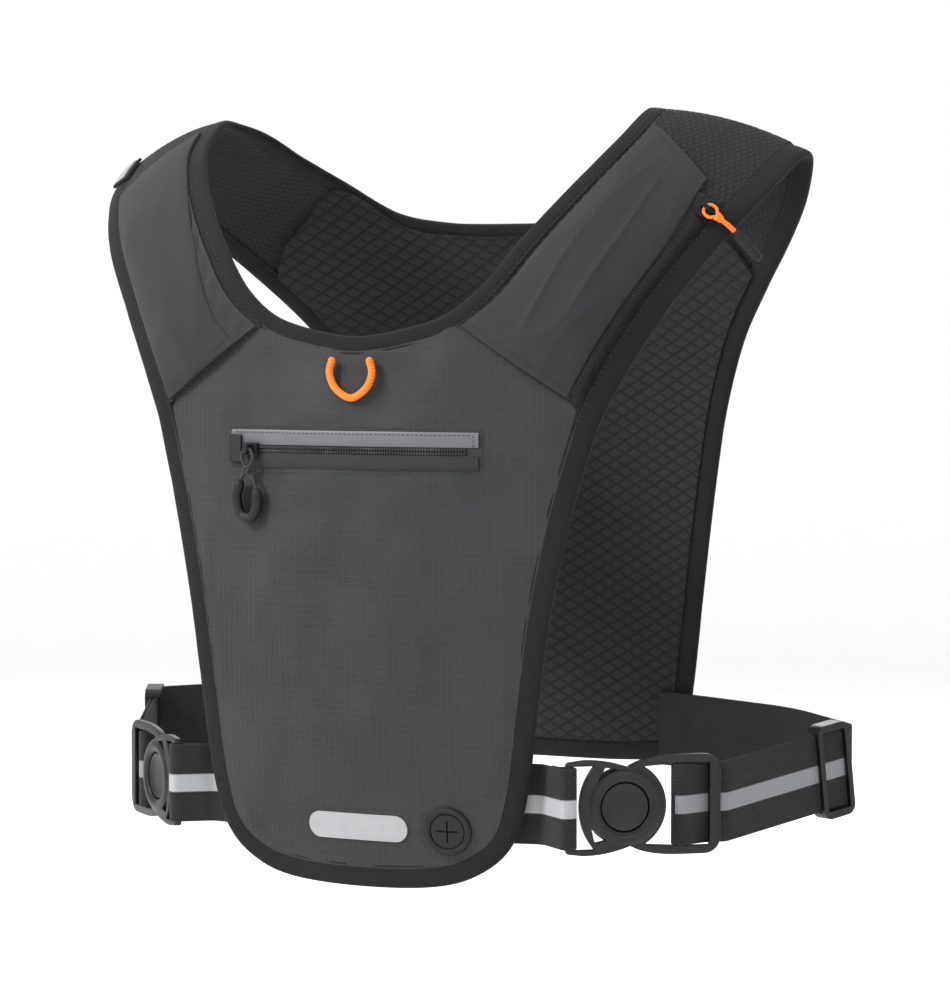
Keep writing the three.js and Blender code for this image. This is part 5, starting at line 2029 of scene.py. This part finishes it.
    def build_buckle(self, side: Side) -> None:
        """Both buckle halves and the push disc.

        Args:
            side: which side of the vest.
        """
        word, seat, base = side.name.lower(), self.seat(side), self.front_base
        top = base + self.plate
        frame_plate = self.cut_plate("frame", self.front_loops(), base, top, 0.6, seat)
        rim = lathe("rim", [(12.3, top - 1.2), (12.5, top + 0.1), (13.3, top + 0.75), (14.9, top + 0.95),
                            (16.6, top + 0.7), (17.6, top), (17.9, top - 1.2)], seat.place, 72)
        dress(merge(f"buckle_front_half_{word}", [frame_plate, rim]), Finish.PLASTIC, f"buckle_front_{word}",
              [f"buckle_front_{word}"])
        face = top - 0.8
        dish = [(0.0, base), (11.1, base), (11.4, base + 0.4), (11.4, face - 0.5), (11.0, face),
                (10.2, face - 0.05), (9.4, face - 0.55), (6.0, face - 0.85), (0.0, face - 0.95)]
        dress(lathe(f"buckle_push_disc_{word}", dish, seat.place, 64), Finish.PLASTIC, f"buckle_front_{word}",
              [f"buckle_disc_{word}"])
        half = self.plate / 2
        body = self.cut_plate("body", self.belt_loops(), -half, half, 0.6, seat)
        lid = [(0.0, 0.75), (8.3, 0.75), (8.3, half - 0.05), (0.0, half - 0.05)]
        cover = lathe("cover", lid, seat.place, 48)
        dress(merge(f"buckle_belt_half_{word}", [body, cover]), Finish.PLASTIC, f"buckle_belt_{word}",
              [f"buckle_belt_{word}"])
        dress_node(f"buckle_magnet_{word}", Finish.METAL, 0.3)
        dress_node(f"triglide_{word}", Finish.PLASTIC, 0.45)

    def build(self) -> None:
        """Both sides."""
        for side in Side:
            self.build_belt(side)
            self.build_front_webbing(side)
            self.build_buckle(side)


# ---------------------------------------------------------------------------- studio
@dataclass
class Studio:
    """Pale floor and wall in one sweep, soft lights and the camera."""

    azimuth: float = 26.0
    elevation: float = 2.94
    distance: float = 1.7
    aim: tuple[float, float, float] = (0.0071, 0.0034, -0.19)
    lens: float = 122.4
    floor_z: float = -0.62
    sensor: float = 36.0
    floor_radius: float = 3.5
    floor_bend: float = 1.5
    wall_top: float = 5.0
    sky: float = 0.8

    def build_camera(self) -> None:
        """The camera, level with the vest."""
        a, e = math.radians(self.azimuth), math.radians(self.elevation)
        offset = Vector((math.sin(a) * math.cos(e), -math.cos(a) * math.cos(e), math.sin(e))) * self.distance
        camera = put("camera", bpy.data.cameras.new("camera"))
        camera.data.lens = self.lens
        camera.data.sensor_width = self.sensor
        camera.location = Vector(self.aim) + offset
        camera.rotation_euler = (-offset).to_track_quat("-Z", "Y").to_euler()
        bpy.context.scene.camera = camera

    def build_floor(self) -> None:
        """A round floor whose rim curves up into a pale wall."""
        turn = np.linspace(0, 2 * math.pi, 96, endpoint=False)
        rings = [(0.001, 0.0), (2.0, 0.0), (self.floor_radius, 0.0)]
        rings += [(self.floor_radius + self.floor_bend * math.sin(a), self.floor_bend * (1 - math.cos(a)))
                  for a in np.linspace(0.1, math.pi / 2, 14)]
        rings.append((self.floor_radius + self.floor_bend, self.wall_top))
        verts = [(r * math.cos(t), r * math.sin(t), self.floor_z + z) for r, z in rings for t in turn]
        count = len(turn)
        faces = []
        for i in range(len(rings) - 1):
            here, above = i * count, (i + 1) * count
            faces += [(here + j, above + j, above + (j + 1) % count, here + (j + 1) % count)
                      for j in range(count)]
        mesh = bpy.data.meshes.new("floor")
        mesh.from_pydata(verts, [], faces)
        mesh.shade_smooth()
        floor = put("floor", mesh)
        shade = Shade("floor")
        floor.data.materials.append(
            shade.surface(Base_Color=linear("f4f4f4"), Roughness=0.9, Specular_IOR_Level=0.1))

    def add_light(self, name: str, place: tuple[float, float, float], size: float, power: float) -> None:
        """A soft square light aimed at the vest.

        Args:
            name: the light's name.
            place: where it stands, in metres.
            size: its width, in metres.
            power: its power, in watts.
        """
        light = bpy.data.lights.new(name, "AREA")
        light.size = size
        light.energy = power
        lamp = put(name, light)
        lamp.location = place
        lamp.rotation_euler = (Vector(self.aim) - Vector(place)).to_track_quat("-Z", "Y").to_euler()

    def build(self) -> None:
        """The whole studio."""
        self.build_camera()
        self.build_floor()
        for lamp in (("key", (-1.5, -1.7, 1.5), 0.9, 95), ("fill", (2.2, -1.6, 0.6), 1.8, 18),
                     ("top", (0.2, 0.4, 2.4), 1.6, 30), ("behind", (-0.6, 2.4, 0.8), 1.6, 22)):
            self.add_light(*lamp)
        world = bpy.data.worlds.new("studio")
        world.use_nodes = True
        background = world.node_tree.nodes["Background"]
        background.inputs["Color"].default_value = (1, 1, 1, 1)
        background.inputs["Strength"].default_value = self.sky
        bpy.context.scene.world = world
        bpy.context.scene.view_settings.view_transform = "Standard"


def main() -> None:
    """Builds the vest piece by piece around its frame."""
    logging.basicConfig(level=logging.INFO, format="%(message)s")
    Studio().build()
    Bindings().build()
    StrapMesh().build()
    Panels().build()
    for flap in pocket_flaps():
        flap.build()
    ChestTrim().build()
    StrapTrim().build()
    Belt().build()
    bpy.context.view_layer.update()


if __name__ == "__main__":
    main()
